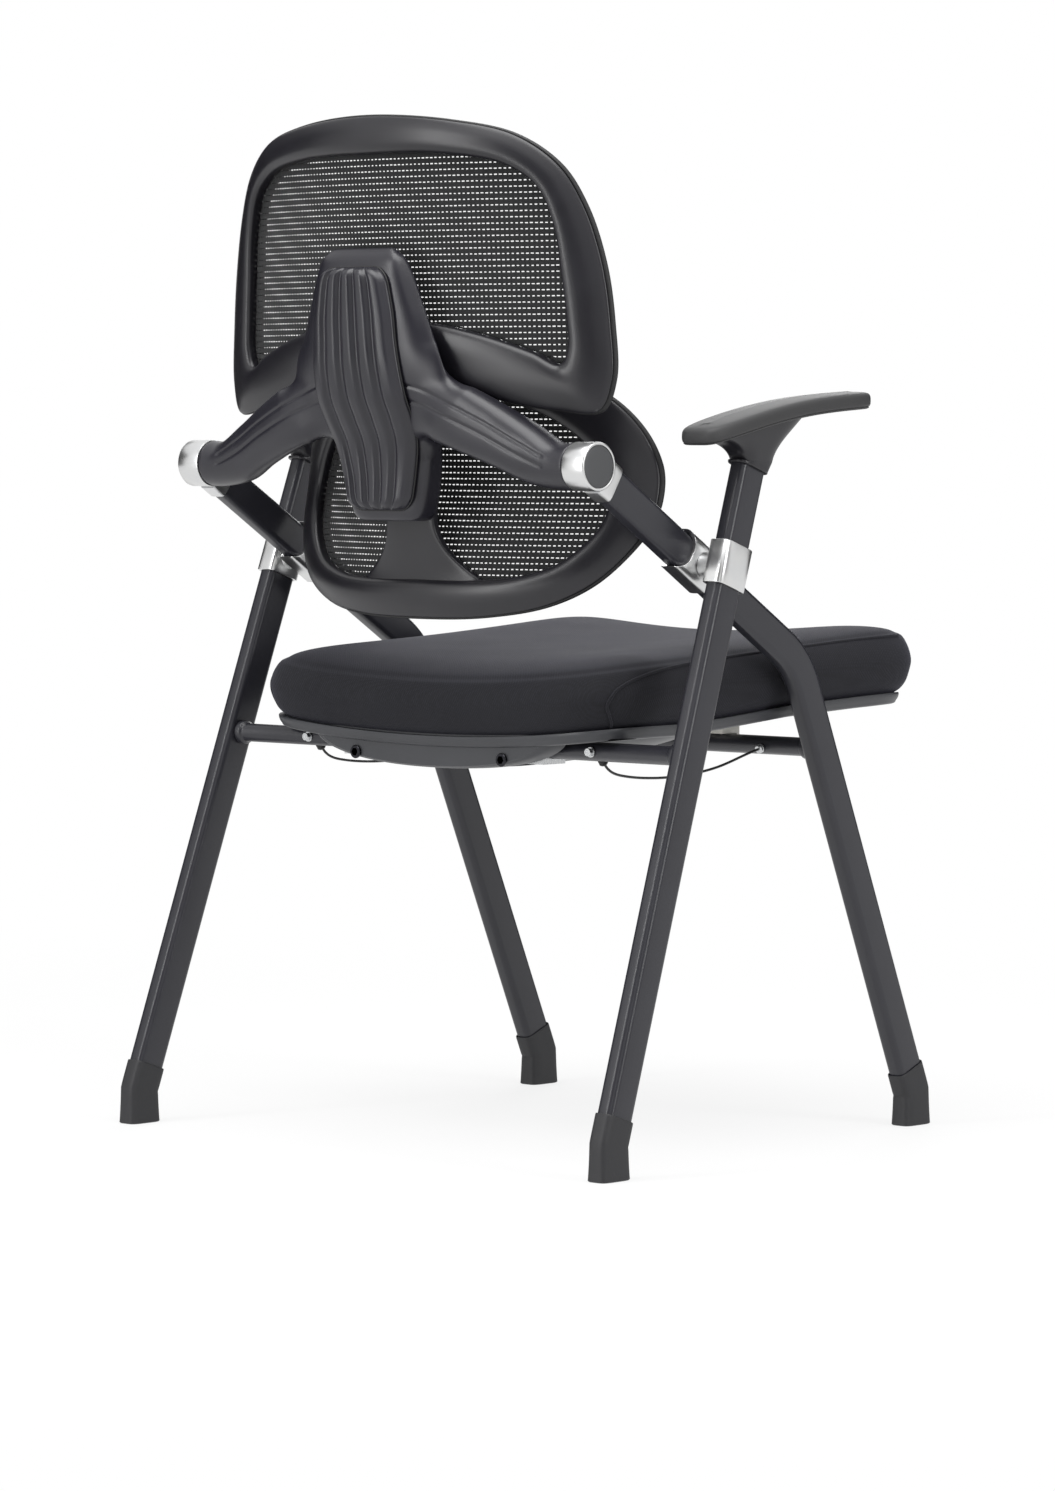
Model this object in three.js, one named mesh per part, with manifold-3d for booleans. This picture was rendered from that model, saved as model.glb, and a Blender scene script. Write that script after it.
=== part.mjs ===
// Nesting chair: crossed leg frames, a flip-up padded seat, arm pads and a tilting mesh back.
// Millimetres. +X is the sitter's left, -Y is the front of the chair, +Z is up.
import * as THREE from 'three';
import { mergeVertices } from 'three/addons/utils/BufferGeometryUtils.js';
import Module from 'manifold-3d';

const wasm = await Module();
wasm.setup();

// Fits
const fitGap = 0.3; // between pieces that seat on each other
const runGap = 0.5; // between pieces that turn past each other
const cutOver = 8; // how far a cutter runs past what it cuts

// Facets
const softSides = 20; // round a soft or oval section
const turnedSides = 20; // round a turned piece
const smallSides = 12;
const seatSides = 36;
const ropeSteps = 24;

// Leg tubes: a flat oval, deep fore and aft
const tubeDepth = 34;
const tubeWidth = 19;
const tubeRound = 7;
const barRadius = 9; // the two round cross bars

// Widths, worked outwards from the seat to the legs
const seatHalfWidth = 235;
const seatLegGap = 10.5; // between the cushion and the front legs
const frontTubeX = seatHalfWidth + seatLegGap + tubeWidth / 2; // their flat part above the knee
const frontToeIn = 5;
const frontFloorX = frontTubeX - frontToeIn;
const rearSetOut = 59.3; // from the front tubes out to the feet of the rear legs
const rearFloorX = frontTubeX + rearSetOut;

// Front legs, bent at the knee and running on to the back hub
const frontFloorY = -266.3;
const kneeY = -72;
const kneeZ = 462;
const kneeRadius = 90;
const hubY = 220.6;
const hubZ = 648.8;

// Rear legs, one straight tube each from the floor to the arm bracket
const rearFloorY = 267.3;
const rearTopRise = 13.2; // from the hub up to the end of the tube
const rearTopZ = hubZ + rearTopRise;
const rearLean = 0.34773; // how far it runs forwards for each unit of its rise
const rearSplay = 0.03323; // and inwards
const rearTopX = rearFloorX - rearSplay * rearTopZ;
const rearTopY = rearFloorY - rearLean * rearTopZ;

// Foot caps
const footTopZ = 57;
const footKinkZ = 33;
const footWall = 1.6;
const footFlare = 1.2;
const legEndZ = 38;

// Cross bars
const rearBarZ = 381;
const frontBarZ = 377;
const collarRadius = 11.5;
const collarLength = 6;

// Fold pivot: a clamp on the rear leg, a socket on the front tube and a pin
const clampWall = 3;
const clampHeight = 42;
const bossRadius = 13;
const pinRadius = 5;
const pinReach = 6; // how deep the pin goes into the front tube
const socketWall = 3.5;
const socketAhead = 34; // socket length towards the hub
const socketBehind = 17; // socket length towards the knee
const mouthRadius = 22;

// Hub that carries the back
const hubRadius = 22.6;
const hubInside = 13.5; // from the middle of the tube to the inner face of the ring
const hubOutside = 13.7;
const hubInnerX = frontTubeX - hubInside;
const hubOuterX = frontTubeX + hubOutside;
const hubEdge = 1; // bevel of the ring
const neckReach = 33; // from the hub axis to the end of the tube
const neckWall = 1.5;
const neckBite = 2; // how deep the neck runs into the ring
const capRadius = 19.6;
const capThick = 2.6;
const capCrown = 0.9;
const axleRadius = 7.7;
const axleReach = 38; // inwards from the middle of the tube
const axleInnerX = frontTubeX - axleReach;
const bushWall = 3.5;
const bushLength = 22;

// Arm pads and their brackets
const padInside = 22; // inner edge of the pad, inwards from the top of the leg
const padInnerX = rearTopX - padInside;
const padRearWidth = 66;
const padFrontWidth = 54;
const padBehind = 98.9; // from the top of the leg back to the end of the pad
const padLength = 252;
const padRise = 22; // from the top of the leg to the top of the pad at its rear end
const padSlope = 34; // and on to its front end
const padRearY = rearTopY + padBehind;
const padFrontY = padRearY - padLength;
const padRearZ = rearTopZ + padRise;
const padFrontZ = padRearZ + padSlope;
const padThick = 16;
const padRound = 22;
const padHump = 11; // swell of the top between the two ends
const bracketWall = 3.5;
const bracketSkirt = 16; // how far the bracket reaches down over the leg
const bracketFootZ = rearTopZ - bracketSkirt;
const bracketTopLength = 134;
const bracketTopWidth = 40;

// Back frames
const backInside = 5; // side of the upper frame, inwards from the middle of the front tube
const backHalfWidth = frontTubeX - backInside;
const backTopZ = 975;
const backLowZ = 695;
const backSideY = 180; // rear face at the two sides
const backLowCentreY = 243; // rear face in the middle of the lower rail
const backTopCentreY = 262;
const lumbarInside = 17;
const lumbarHalfWidth = frontTubeX - lumbarInside;
const lumbarTopZ = 745;
const lumbarLowZ = 504;
const lumbarLowY = 195; // rear face in the middle, low down
const lumbarHighY = 173; // and higher up, where it leans to the sitter
const lumbarBow = 82; // how far the sides come forward
const frameThick = 22;
const trimThick = 5;
const trimProud = 1; // how far the trim shows outside its frame
const meshThick = 1.2;
const meshGap = 0.4; // from the frame to the mesh in front of it
const trimGap = 2.4; // from the mesh to the trim, more because both are bowed
const meshTuck = 9; // how far the mesh runs under its frame
const backNetRows = 13;
const lumbarNetRows = 9;
const netSlots = 4; // in each row

// Lumbar plate, part of the lower frame
const plateLowZ = 522;
const plateHighZ = 662;
const plateThick = 13;
const plateLowHalf = 70;
const plateHighHalf = 38;

// Yoke: the column behind the two frames, then its arms
const columnLowZ = 596;
const columnTopZ = 852;
const columnFrontY = 196.5; // front face low down
const columnRearY = 265; // rear face high up
const columnHalfWidth = 63;
const armRadius = 22;
const armCylinderLength = 34.5; // the round part next to the hub
const armCylinderX = hubInnerX - armCylinderLength;
const armRootY = 243;
const armRootZ = 716;
const armRootHalf = 36; // half the height of the arm at its root

// Yoke cover
const coverTopZ = 834;
const coverLowZ = 606;
const coverMargin = 8; // yoke left bare beside the cover
const coverThick = 13;
const coverFlutes = 5;
const fluteDepth = 1.6;

// Seat
const seatPastBar = 46; // from the rear bar back to the rear edge
const seatDepth = 483.63;
const rearBarY = rearFloorY - rearLean * rearBarZ;
const seatRearY = rearBarY + seatPastBar;
const seatFrontY = seatRearY - seatDepth;
const seatBaseZ = 398; // underside of the cushion, rear middle
const seatRise = 17; // rise of the underside from rear to front
const seatSideLift = 15; // rise of the underside from middle to sides
const cushionRear = 45; // height of the cushion wall
const cushionFront = 56;
const cushionDrawIn = 13; // how far the wall is drawn in at its foot
const cushionCrown = 15;
const rimInset = 3;
const rimThick = 11;
const bellyEndInset = 12;
const bellyLength = 374;
const bellyWidthShare = 0.7234; // of the half width of the seat
const bellyEndY = seatRearY - bellyEndInset;
const bellyFrontY = bellyEndY - bellyLength;
const bellyHalfWidth = seatHalfWidth * bellyWidthShare;
const bellyLowZ = 357;
const bellyFrontZ = 404; // underside of the belly at its front end
const channelHalf = 16; // half the slot that the rear bar passes through
const channelHead = 3;

// Seat hinge brackets, rests and bolts, each at a share of the half width of the seat
const bracketShare = 0.5106;
const bracketX = seatHalfWidth * bracketShare;
const bracketWidth = 24;
const bracketDrop = 14;
const restShare = 0.5447;
const restX = seatHalfWidth * restShare;
const restWidth = 24;
const restDepth = 22;
const restLip = 4;
const restLipDrop = 7;
const boltShare = 0.413;
const boltX = seatHalfWidth * boltShare;
const boltZ = 371;
const boltHead = 6.5;
const boltHeadThick = 3;
const boltShank = 3;
const boltShankLength = 5;
const boltSocket = 3;
const boltSocketDepth = 2;

// Safety ropes and their fittings
const ropeShare = 0.8; // of the half width of the seat
const ropeX = seatHalfWidth * ropeShare;
const ropeRadius = 1.25;
const ferruleRadius = 4.5;
const ferruleLength = 6.2;
const nutRadius = 5.5;
const nutThick = 4;
const washerRadius = 6.8;
const washerThick = 1.4;
const nutShank = 2.7;
const nutShankDepth = 4;

const finish = (color, roughness, metalness) =>
  new THREE.MeshStandardMaterial({ color, roughness, metalness });
const materials = {
  tube: finish(0x323437, 0.5, 0.3),
  chrome: finish(0xc4c4c2, 0.25, 1),
  frame: finish(0x2d2d32, 0.45, 0),
  trim: finish(0x141417, 0.6, 0),
  mesh: finish(0x151517, 0.9, 0),
  fabric: finish(0x1d1e24, 0.95, 0),
  pan: finish(0x3a3b3e, 0.55, 0),
  pad: finish(0x3a3a3b, 0.65, 0),
  foot: finish(0x2f3033, 0.6, 0),
  steel: finish(0x8d8f92, 0.35, 1),
  rope: finish(0x101012, 0.5, 0),
  bush: finish(0xd9d7cf, 0.5, 0),
};

// Solids

function positionsOnly(geometry) {
  const bare = geometry.index ? geometry.clone() : mergeVertices(geometry.clone());
  bare.deleteAttribute('normal');
  bare.deleteAttribute('uv');
  return mergeVertices(bare, 0.0005);
}

function solid(geometry) {
  const bare = positionsOnly(geometry);
  const vertProperties = new Float32Array(bare.attributes.position.array);
  const triVerts = new Uint32Array(bare.index.array);
  return new wasm.Manifold(new wasm.Mesh({ numProp: 3, vertProperties, triVerts }));
}

function geometryOf(manifold) {
  const mesh = manifold.getMesh();
  const geometry = new THREE.BufferGeometry();
  geometry.setAttribute('position', new THREE.Float32BufferAttribute(mesh.vertProperties, 3));
  geometry.setIndex(new THREE.Uint32BufferAttribute(mesh.triVerts, 1));
  geometry.computeVertexNormals();
  return geometry;
}

function joined(...parts) {
  return geometryOf(parts.map(solid).reduce((all, part) => all.add(part)));
}

function cut(body, ...cutters) {
  return geometryOf(cutters.map(solid).reduce((left, cutter) => left.subtract(cutter), solid(body)));
}

// Turns the faces outwards if the rings were given the other way round.
function facingOut(geometry) {
  const p = geometry.attributes.position;
  const index = geometry.index.array;
  const corner = (i) => new THREE.Vector3().fromBufferAttribute(p, index[i]);
  let volume = 0;
  for (let i = 0; i < index.length; i += 3) {
    volume += corner(i).dot(corner(i + 1).cross(corner(i + 2)));
  }
  if (volume < 0) {
    for (let i = 0; i < index.length; i += 3) {
      [index[i + 1], index[i + 2]] = [index[i + 2], index[i + 1]];
    }
  }
  geometry.computeVertexNormals();
  return geometry;
}

function fromFaces(points, faces) {
  const geometry = new THREE.BufferGeometry();
  geometry.setAttribute(
    'position',
    new THREE.Float32BufferAttribute(points.flatMap((point) => point.toArray()), 3),
  );
  geometry.setIndex(faces.flat());
  return facingOut(geometry);
}

const middleOf = (ring) =>
  ring.reduce((sum, point) => sum.add(point), new THREE.Vector3()).divideScalar(ring.length);

// A closed skin over rings of the same number of points, with fanned ends.
function loft(rings) {
  const count = rings[0].length;
  const points = rings.flat();
  const faces = [];
  for (let r = 0; r + 1 < rings.length; r += 1) {
    for (let i = 0; i < count; i += 1) {
      const next = (i + 1) % count;
      const [a, b] = [r * count + i, r * count + next];
      faces.push([a, b, b + count], [a, b + count, a + count]);
    }
  }
  const last = (rings.length - 1) * count;
  const firstMiddle = points.push(middleOf(rings[0])) - 1;
  const lastMiddle = points.push(middleOf(rings.at(-1))) - 1;
  for (let i = 0; i < count; i += 1) {
    const next = (i + 1) % count;
    faces.push([next, i, firstMiddle], [last + i, last + next, lastMiddle]);
  }
  return fromFaces(points, faces);
}

// A closed ring such as a picture frame: sections joined end to end.
function loop(sections) {
  const count = sections[0].length;
  const faces = [];
  sections.forEach((section, s) => {
    const after = ((s + 1) % sections.length) * count;
    for (let i = 0; i < count; i += 1) {
      const next = (i + 1) % count;
      faces.push([s * count + i, s * count + next, after + next]);
      faces.push([s * count + i, after + next, after + i]);
    }
  });
  return fromFaces(sections.flat(), faces);
}

// Points of a rounded rectangle or oval: power 2 is an ellipse, 4 and more a rounded box.
function ovalRing(middle, across, along, power, count) {
  const soften = (value) => Math.sign(value) * Math.abs(value) ** (2 / power);
  return Array.from({ length: count }, (_, i) => {
    const turn = (2 * Math.PI * (i + 0.5)) / count;
    return middle
      .clone()
      .addScaledVector(across, soften(Math.cos(turn)))
      .addScaledVector(along, soften(Math.sin(turn)));
  });
}

const v = (x, y, z) => new THREE.Vector3(x, y, z);
const share = (from, to, part) => from + (to - from) * part;
const xAxis = v(1, 0, 0);
const yAxis = v(0, 1, 0);

// A path that steps only where its stations are, so a straight run costs one step.
class StationPath extends THREE.Curve {
  constructor(stations) {
    super();
    this.stations = stations;
  }

  getPoint(t) {
    const place = t * (this.stations.length - 1);
    const step = Math.min(Math.floor(place), this.stations.length - 2);
    return this.stations[step].clone().lerp(this.stations[step + 1], place - step);
  }

  getUtoTmapping(u) {
    return u;
  }
}

function tubeShape(depth, width, round) {
  const [a, b] = [width / 2, depth / 2];
  const shape = new THREE.Shape();
  shape.moveTo(-a + round, -b);
  shape.lineTo(a - round, -b);
  shape.absarc(a - round, -b + round, round, -Math.PI / 2, 0);
  shape.lineTo(a, b - round);
  shape.absarc(a - round, b - round, round, 0, Math.PI / 2);
  shape.lineTo(-a + round, b);
  shape.absarc(-a + round, b - round, round, Math.PI / 2, Math.PI);
  shape.lineTo(-a, -b + round);
  shape.absarc(-a + round, -b + round, round, Math.PI, Math.PI * 1.5);
  return shape;
}

function tubeAlong(stations, grow = 0) {
  return new THREE.ExtrudeGeometry(
    tubeShape(tubeDepth + 2 * grow, tubeWidth + 2 * grow, tubeRound + grow),
    { extrudePath: new StationPath(stations), steps: stations.length - 1, curveSegments: 3 },
  );
}

// A bend of a given radius between two straight runs.
function bendStations(start, knee, end, radius, steps) {
  const into = knee.clone().sub(start).normalize();
  const out = end.clone().sub(knee).normalize();
  const setBack = radius * Math.tan(into.angleTo(out) / 2);
  const from = knee.clone().addScaledVector(into, -setBack);
  const to = knee.clone().addScaledVector(out, setBack);
  const bend = new THREE.QuadraticBezierCurve3(from, knee, to);
  return [start, ...bend.getPoints(steps), end];
}

// A turned piece: outline as [radius, distance] pairs, with its axis along +X.
function turned(outline, segments = turnedSides) {
  const points = outline.map(([radius, along]) => new THREE.Vector2(radius, along));
  const geometry = new THREE.LatheGeometry(points, segments);
  return geometry.rotateZ(-Math.PI / 2);
}

const rod = (radius, from, to, segments = turnedSides) =>
  new THREE.CylinderGeometry(radius, radius, to - from, segments)
    .rotateZ(-Math.PI / 2)
    .translate((from + to) / 2, 0, 0);

function mirrored(geometry) {
  const other = positionsOnly(geometry).scale(-1, 1, 1);
  return facingOut(other);
}

// Lines of the chair

const alongLine = (from, to, z) => from.clone().lerp(to, (z - from.z) / (to.z - from.z));
const rearFloor = v(rearFloorX, rearFloorY, 0);
const rearTop = v(rearTopX, rearTopY, rearTopZ);
const frontFloor = v(frontFloorX, frontFloorY, 0);
const knee = v(frontTubeX, kneeY, kneeZ);
const hub = v(frontTubeX, hubY, hubZ);
const rearAt = (z) => alongLine(rearFloor, rearTop, z);
const frontAt = (z) => alongLine(frontFloor, knee, z);
const upperDirection = hub.clone().sub(knee).normalize();

// The fold pivot is where the two tube lines cross, seen from the side.
function crossing() {
  const rearSlope = (rearTopY - rearFloorY) / rearTopZ;
  const upperSlope = (hubZ - kneeZ) / (hubY - kneeY);
  const z = (kneeZ + upperSlope * (rearFloorY - kneeY)) / (1 - upperSlope * rearSlope);
  return v(frontTubeX, rearAt(z).y, z);
}
const pivot = crossing();
const rearBar = rearAt(rearBarZ);
const frontBar = frontAt(frontBarZ);

// Named meshes by the body that they move with
const chair = new THREE.Group();

function add(name, geometry, material) {
  const mesh = new THREE.Mesh(geometry, material);
  mesh.name = name;
  chair.add(mesh);
}

function addPair(name, leftGeometry, material) {
  add(`${name}_left`, leftGeometry, material);
  add(`${name}_right`, mirrored(leftGeometry), material);
}

// Legs

const rearStations = [rearAt(legEndZ), rearTop];
const hubEnd = hub.clone().addScaledVector(upperDirection, -(neckReach + fitGap));
const frontStations = bendStations(frontAt(legEndZ), knee, hubEnd, kneeRadius, 5);
const pinBore = rod(pinRadius + fitGap, frontTubeX + tubeWidth / 2 - pinReach, rearTopX + cutOver)
  .translate(0, pivot.y, pivot.z);

function footCap(at, stations) {
  const lean = at(footTopZ).sub(at(footKinkZ)).normalize();
  const depthAxis = lean.clone().cross(xAxis).normalize();
  const halfWidth = tubeWidth / 2 + footWall;
  const halfDepth = tubeDepth / 2 + footWall;
  const kink = at(footKinkZ);
  const floor = v(kink.x, kink.y, 0);
  const ring = (middle, depthLine, grow) =>
    ovalRing(
      middle,
      xAxis.clone().multiplyScalar(halfWidth + grow),
      depthLine.clone().multiplyScalar(halfDepth + grow),
      4,
      softSides - 4,
    );
  const body = loft([
    ring(floor, yAxis, footFlare),
    ring(v(kink.x, kink.y, footKinkZ / 2), yAxis, footFlare / 4),
    ring(kink, yAxis.clone().lerp(depthAxis, 0.5).normalize(), 0),
    ring(at(footTopZ), depthAxis, 0),
  ]);
  return cut(body, tubeAlong([at(legEndZ - fitGap), ...stations.slice(1)], fitGap));
}

addPair('rear_leg', tubeAlong(rearStations), materials.tube);
addPair('rear_foot', footCap(rearAt, rearStations), materials.foot);
addPair('front_leg', cut(tubeAlong(frontStations), pinBore), materials.tube);
addPair('front_foot', footCap(frontAt, frontStations), materials.foot);

// Cross bars, welded between the legs with a collar at each end

function crossBar(middle, drills) {
  const half = middle.x - tubeWidth / 2 - fitGap * 2;
  const outline = [
    [0, -half],
    [collarRadius, -half],
    [collarRadius, -half + collarLength],
    [barRadius, -half + collarLength + (collarRadius - barRadius)],
    [barRadius, half - collarLength - (collarRadius - barRadius)],
    [collarRadius, half - collarLength],
    [collarRadius, half],
    [0, half],
  ];
  const bar = turned(outline).translate(0, middle.y, middle.z);
  return cut(bar, ...drills);
}

const shankReach = barRadius + nutThick;
const nutDrill = (side) =>
  new THREE.CylinderGeometry(nutShank + fitGap, nutShank + fitGap, shankReach, smallSides)
    .translate(side * ropeX, rearBar.y + barRadius - nutShankDepth - fitGap + shankReach / 2, rearBar.z);
add('rear_crossbar', crossBar(rearBar, [nutDrill(1), nutDrill(-1)]), materials.tube);
add('front_crossbar', crossBar(frontBar, []), materials.tube);

// Fold pivot

function horizontalRing(middle, depth, width) {
  return ovalRing(middle, v(width / 2, 0, 0), v(0, depth / 2, 0), 5, softSides);
}

function legClamp() {
  const wallDepth = tubeDepth + 2 * clampWall;
  const wallWidth = tubeWidth + 2 * clampWall;
  const lean = Math.cos(Math.atan((rearFloorY - rearTopY) / rearTopZ));
  const rings = [-1, 1].map((end) =>
    horizontalRing(rearAt(pivot.z + (end * clampHeight) / 2), wallDepth / lean, wallWidth),
  );
  const socketFace = frontTubeX + tubeWidth / 2 + socketWall;
  const boss = rod(bossRadius, socketFace + runGap, rearAt(pivot.z).x - tubeWidth / 2)
    .translate(0, pivot.y, pivot.z);
  return cut(joined(loft(rings), boss), tubeAlong(rearStations, fitGap), pinBore);
}

function pivotSocket() {
  const depthAxis = upperDirection.clone().cross(xAxis).normalize();
  const at = (along) => pivot.clone().addScaledVector(upperDirection, along);
  const ring = (along) =>
    ovalRing(
      at(along),
      xAxis.clone().multiplyScalar(tubeWidth / 2 + socketWall),
      depthAxis.clone().multiplyScalar(tubeDepth / 2 + socketWall),
      5,
      softSides,
    );
  const mouth = rod(mouthRadius, frontTubeX - tubeWidth - cutOver, frontTubeX + tubeWidth + cutOver);
  const mouthMiddle = at(socketAhead + mouthRadius / 3);
  return cut(
    loft([ring(-socketBehind), ring(socketAhead)]),
    tubeAlong(frontStations, fitGap),
    mouth.translate(0, mouthMiddle.y, mouthMiddle.z),
    pinBore,
  );
}

const pinFrom = frontTubeX + tubeWidth / 2 - pinReach + fitGap;
const pinTo = rearAt(pivot.z).x - tubeWidth / 2 - 2 * fitGap;
addPair('leg_clamp', legClamp(), materials.chrome);
addPair('pivot_socket', pivotSocket(), materials.chrome);
const pin = rod(pinRadius, pinFrom, pinTo, smallSides).translate(0, pivot.y, pivot.z);
addPair('pivot_pin', pin, materials.steel);

// Hub ring, cap, axle and bush

function hubRing() {
  const pocket = capThick + fitGap;
  const ring = turned([
    [axleRadius + fitGap, hubInnerX],
    [hubRadius - hubEdge, hubInnerX],
    [hubRadius, hubInnerX + hubEdge],
    [hubRadius, hubOuterX - hubEdge],
    [hubRadius - hubEdge, hubOuterX],
    [capRadius + fitGap, hubOuterX],
    [capRadius + fitGap, hubOuterX - pocket],
    [axleRadius + fitGap, hubOuterX - pocket],
    [axleRadius + fitGap, hubInnerX],
  ], turnedSides + 4).translate(0, hubY, hubZ);
  const depthAxis = upperDirection.clone().cross(xAxis).normalize();
  const neckRing = (along) =>
    ovalRing(
      hub.clone().addScaledVector(upperDirection, -along),
      xAxis.clone().multiplyScalar(tubeWidth / 2 + neckWall),
      depthAxis.clone().multiplyScalar(tubeDepth / 2 + neckWall),
      6,
      softSides - 4,
    );
  const inside = rod(hubRadius - neckBite, hubInnerX - cutOver, hubOuterX + cutOver)
    .translate(0, hubY, hubZ);
  const neck = cut(loft([neckRing(capRadius / 2), neckRing(neckReach)]), inside);
  return joined(ring, neck);
}

const hubCap = turned([
  [0, hubOuterX - capThick],
  [capRadius, hubOuterX - capThick],
  [capRadius, hubOuterX - capCrown],
  [capRadius * 0.9, hubOuterX - capCrown / 3],
  [0, hubOuterX],
], turnedSides + 4).translate(0, hubY, hubZ);
const axleEnd = hubOuterX - capThick - 2 * fitGap;
const hubAxle = rod(axleRadius, axleInnerX, axleEnd).translate(0, hubY, hubZ);
const bushOuter = axleRadius + fitGap + bushWall;
const bushTo = hubInnerX - runGap;
const bush = turned([
  [axleRadius + fitGap, bushTo - bushLength],
  [bushOuter, bushTo - bushLength],
  [bushOuter, bushTo],
  [axleRadius + fitGap, bushTo],
  [axleRadius + fitGap, bushTo - bushLength],
]).translate(0, hubY, hubZ);
addPair('hub_ring', hubRing(), materials.chrome);
addPair('hub_cap', hubCap, materials.trim);
addPair('hub_axle', hubAxle, materials.steel);
addPair('tilt_bush', bush, materials.bush);

// Arm pads and brackets

const padTopZ = (y) => {
  const part = (padRearY - y) / (padRearY - padFrontY);
  return share(padRearZ, padFrontZ, part) + padHump * Math.sin(Math.PI * part);
};

function padOutline(inset, count) {
  const length = padRearY - padFrontY;
  return Array.from({ length: count }, (_, i) => {
    const turn = (2 * Math.PI * (i + 0.5)) / count;
    const soften = (value) => Math.sign(value) * Math.abs(value) ** (2 / 5);
    const y = (padRearY + padFrontY) / 2 + (length / 2 - inset) * soften(Math.sin(turn));
    const width = share(padRearWidth, padFrontWidth, (padRearY - y) / length);
    const x = padInnerX + width / 2 + (width / 2 - inset) * soften(Math.cos(turn));
    return [x, y];
  });
}

function armPad() {
  const edge = padThick / 4;
  const layer = (inset, drop) =>
    padOutline(inset, 24).map(([x, y]) => v(x, y, padTopZ(y) - drop));
  return loft([
    layer(edge + padRound / 4, padThick),
    layer(edge / 2, padThick - edge / 2),
    layer(0, padThick - edge * 1.5),
    layer(0, edge),
    layer(edge / 3, edge / 4),
    layer(edge + padRound / 4, 0),
    layer(padRearWidth / 3, -edge / 4),
  ]);
}

function armBracket(pad) {
  const lean = rearTop.clone().sub(rearFloor).normalize();
  const legDepthAxis = lean.clone().cross(xAxis).normalize();
  const halfWidth = tubeWidth / 2 + bracketWall;
  const halfDepth = tubeDepth / 2 + bracketWall;
  const underPad = (y) => padTopZ(y) - padThick - fitGap;
  const foot = rearAt(bracketFootZ);
  const round = (middle, width, axis, depth) =>
    ovalRing(middle, v(width, 0, 0), axis.clone().multiplyScalar(depth), 3.5, softSides - 4);
  const flareMiddle = rearTopY - bracketWall / 2;
  const [flareRear, flareFront] = [1, -1].map((way) => flareMiddle + (way * bracketTopLength) / 2);
  const slope = v(0, bracketTopLength, underPad(flareRear) - underPad(flareFront)).normalize();
  const level = (part, drop) => {
    const y = share(rearAt(rearTopZ).y, flareMiddle, part);
    return round(
      v(rearTopX, y, underPad(y) - drop),
      share(halfWidth, bracketTopWidth / 2, part),
      legDepthAxis.clone().lerp(slope, 0.5 + part / 2).normalize(),
      share(halfDepth, bracketTopLength / 2, part * part),
    );
  };
  const body = loft([
    round(foot, halfWidth, legDepthAxis, halfDepth),
    level(0.15, bracketWall * 9),
    level(0.5, bracketWall * 6),
    level(0.85, bracketWall * 3),
    level(1, -bracketWall),
  ]);
  const lowered = positionsOnly(pad).translate(0, 0, -fitGap);
  return cut(body, pad, lowered, tubeAlong([rearAt(legEndZ), rearAt(rearTopZ + fitGap)], fitGap));
}

const leftPad = armPad();
addPair('arm_pad', leftPad, materials.pad);
addPair('arm_bracket', armBracket(leftPad), materials.frame);

// Back outlines, as shares of the half width and of the height, from top middle to low middle

const backOuterShares = [
  [0, 1], [0.4, 0.975], [0.68, 0.93], [0.84, 0.832], [0.93, 0.7], [0.985, 0.5], [1, 0.3],
  [0.985, 0.1], [0.93, 0.012], [0.8, 0.018], [0.55, 0.055], [0.28, 0.14], [0, 0.17],
];
const backInnerShares = [
  [0, 0.86], [0.38, 0.85], [0.62, 0.815], [0.735, 0.745], [0.78, 0.63], [0.805, 0.47], [0.815, 0.34],
  [0.82, 0.23], [0.79, 0.17], [0.7, 0.19], [0.48, 0.26], [0.26, 0.33], [0, 0.35],
];
const lumbarOuterShares = [
  [0, 1], [0.35, 0.985], [0.62, 0.945], [0.8, 0.865], [0.92, 0.75], [0.985, 0.62], [1, 0.5],
  [0.985, 0.38], [0.92, 0.26], [0.8, 0.14], [0.62, 0.055], [0.35, 0.01], [0, 0],
];
const lumbarInnerShares = [
  [0, 0.87], [0.3, 0.86], [0.52, 0.8], [0.66, 0.72], [0.75, 0.63], [0.8, 0.54], [0.81, 0.46],
  [0.79, 0.37], [0.735, 0.29], [0.64, 0.215], [0.47, 0.165], [0.27, 0.15], [0, 0.15],
];
const outlineSteps = 52;

// The whole outline in X and Z, going round from the top middle.
function outline(shares, halfWidth, lowZ, topZ) {
  const half = shares.map(([x, z]) => v(x * halfWidth, 0, share(lowZ, topZ, z)));
  const other = half.slice(1, -1).reverse().map((point) => v(-point.x, 0, point.z));
  const curve = new THREE.CatmullRomCurve3([...half, ...other], true, 'centripetal');
  return Array.from({ length: outlineSteps }, (_, i) => curve.getPoint(i / outlineSteps));
}

const backOuter = outline(backOuterShares, backHalfWidth, backLowZ, backTopZ);
const backInner = outline(backInnerShares, backHalfWidth, backLowZ, backTopZ);
const lumbarOuter = outline(lumbarOuterShares, lumbarHalfWidth, lumbarLowZ, lumbarTopZ);
const lumbarInner = outline(lumbarInnerShares, lumbarHalfWidth, lumbarLowZ, lumbarTopZ);

// Rear face of each frame: bowed, with the middle behind the sides
function backRearY(x, z) {
  const railZ = share(backLowZ, backTopZ, backOuterShares.at(-1)[1]);
  const part = THREE.MathUtils.clamp((z - railZ) / (backTopZ - railZ), 0, 1);
  const middle = share(backLowCentreY, backTopCentreY, part);
  return backSideY + (middle - backSideY) * (1 - (x / backHalfWidth) ** 2);
}

function lumbarRearY(x, z) {
  const height = lumbarTopZ - lumbarLowZ;
  const lean = THREE.MathUtils.smoothstep(z, lumbarLowZ + height * 0.1, lumbarLowZ + height * 0.6);
  return share(lumbarLowY, lumbarHighY, lean) - lumbarBow * (x / lumbarHalfWidth) ** 2;
}

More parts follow.
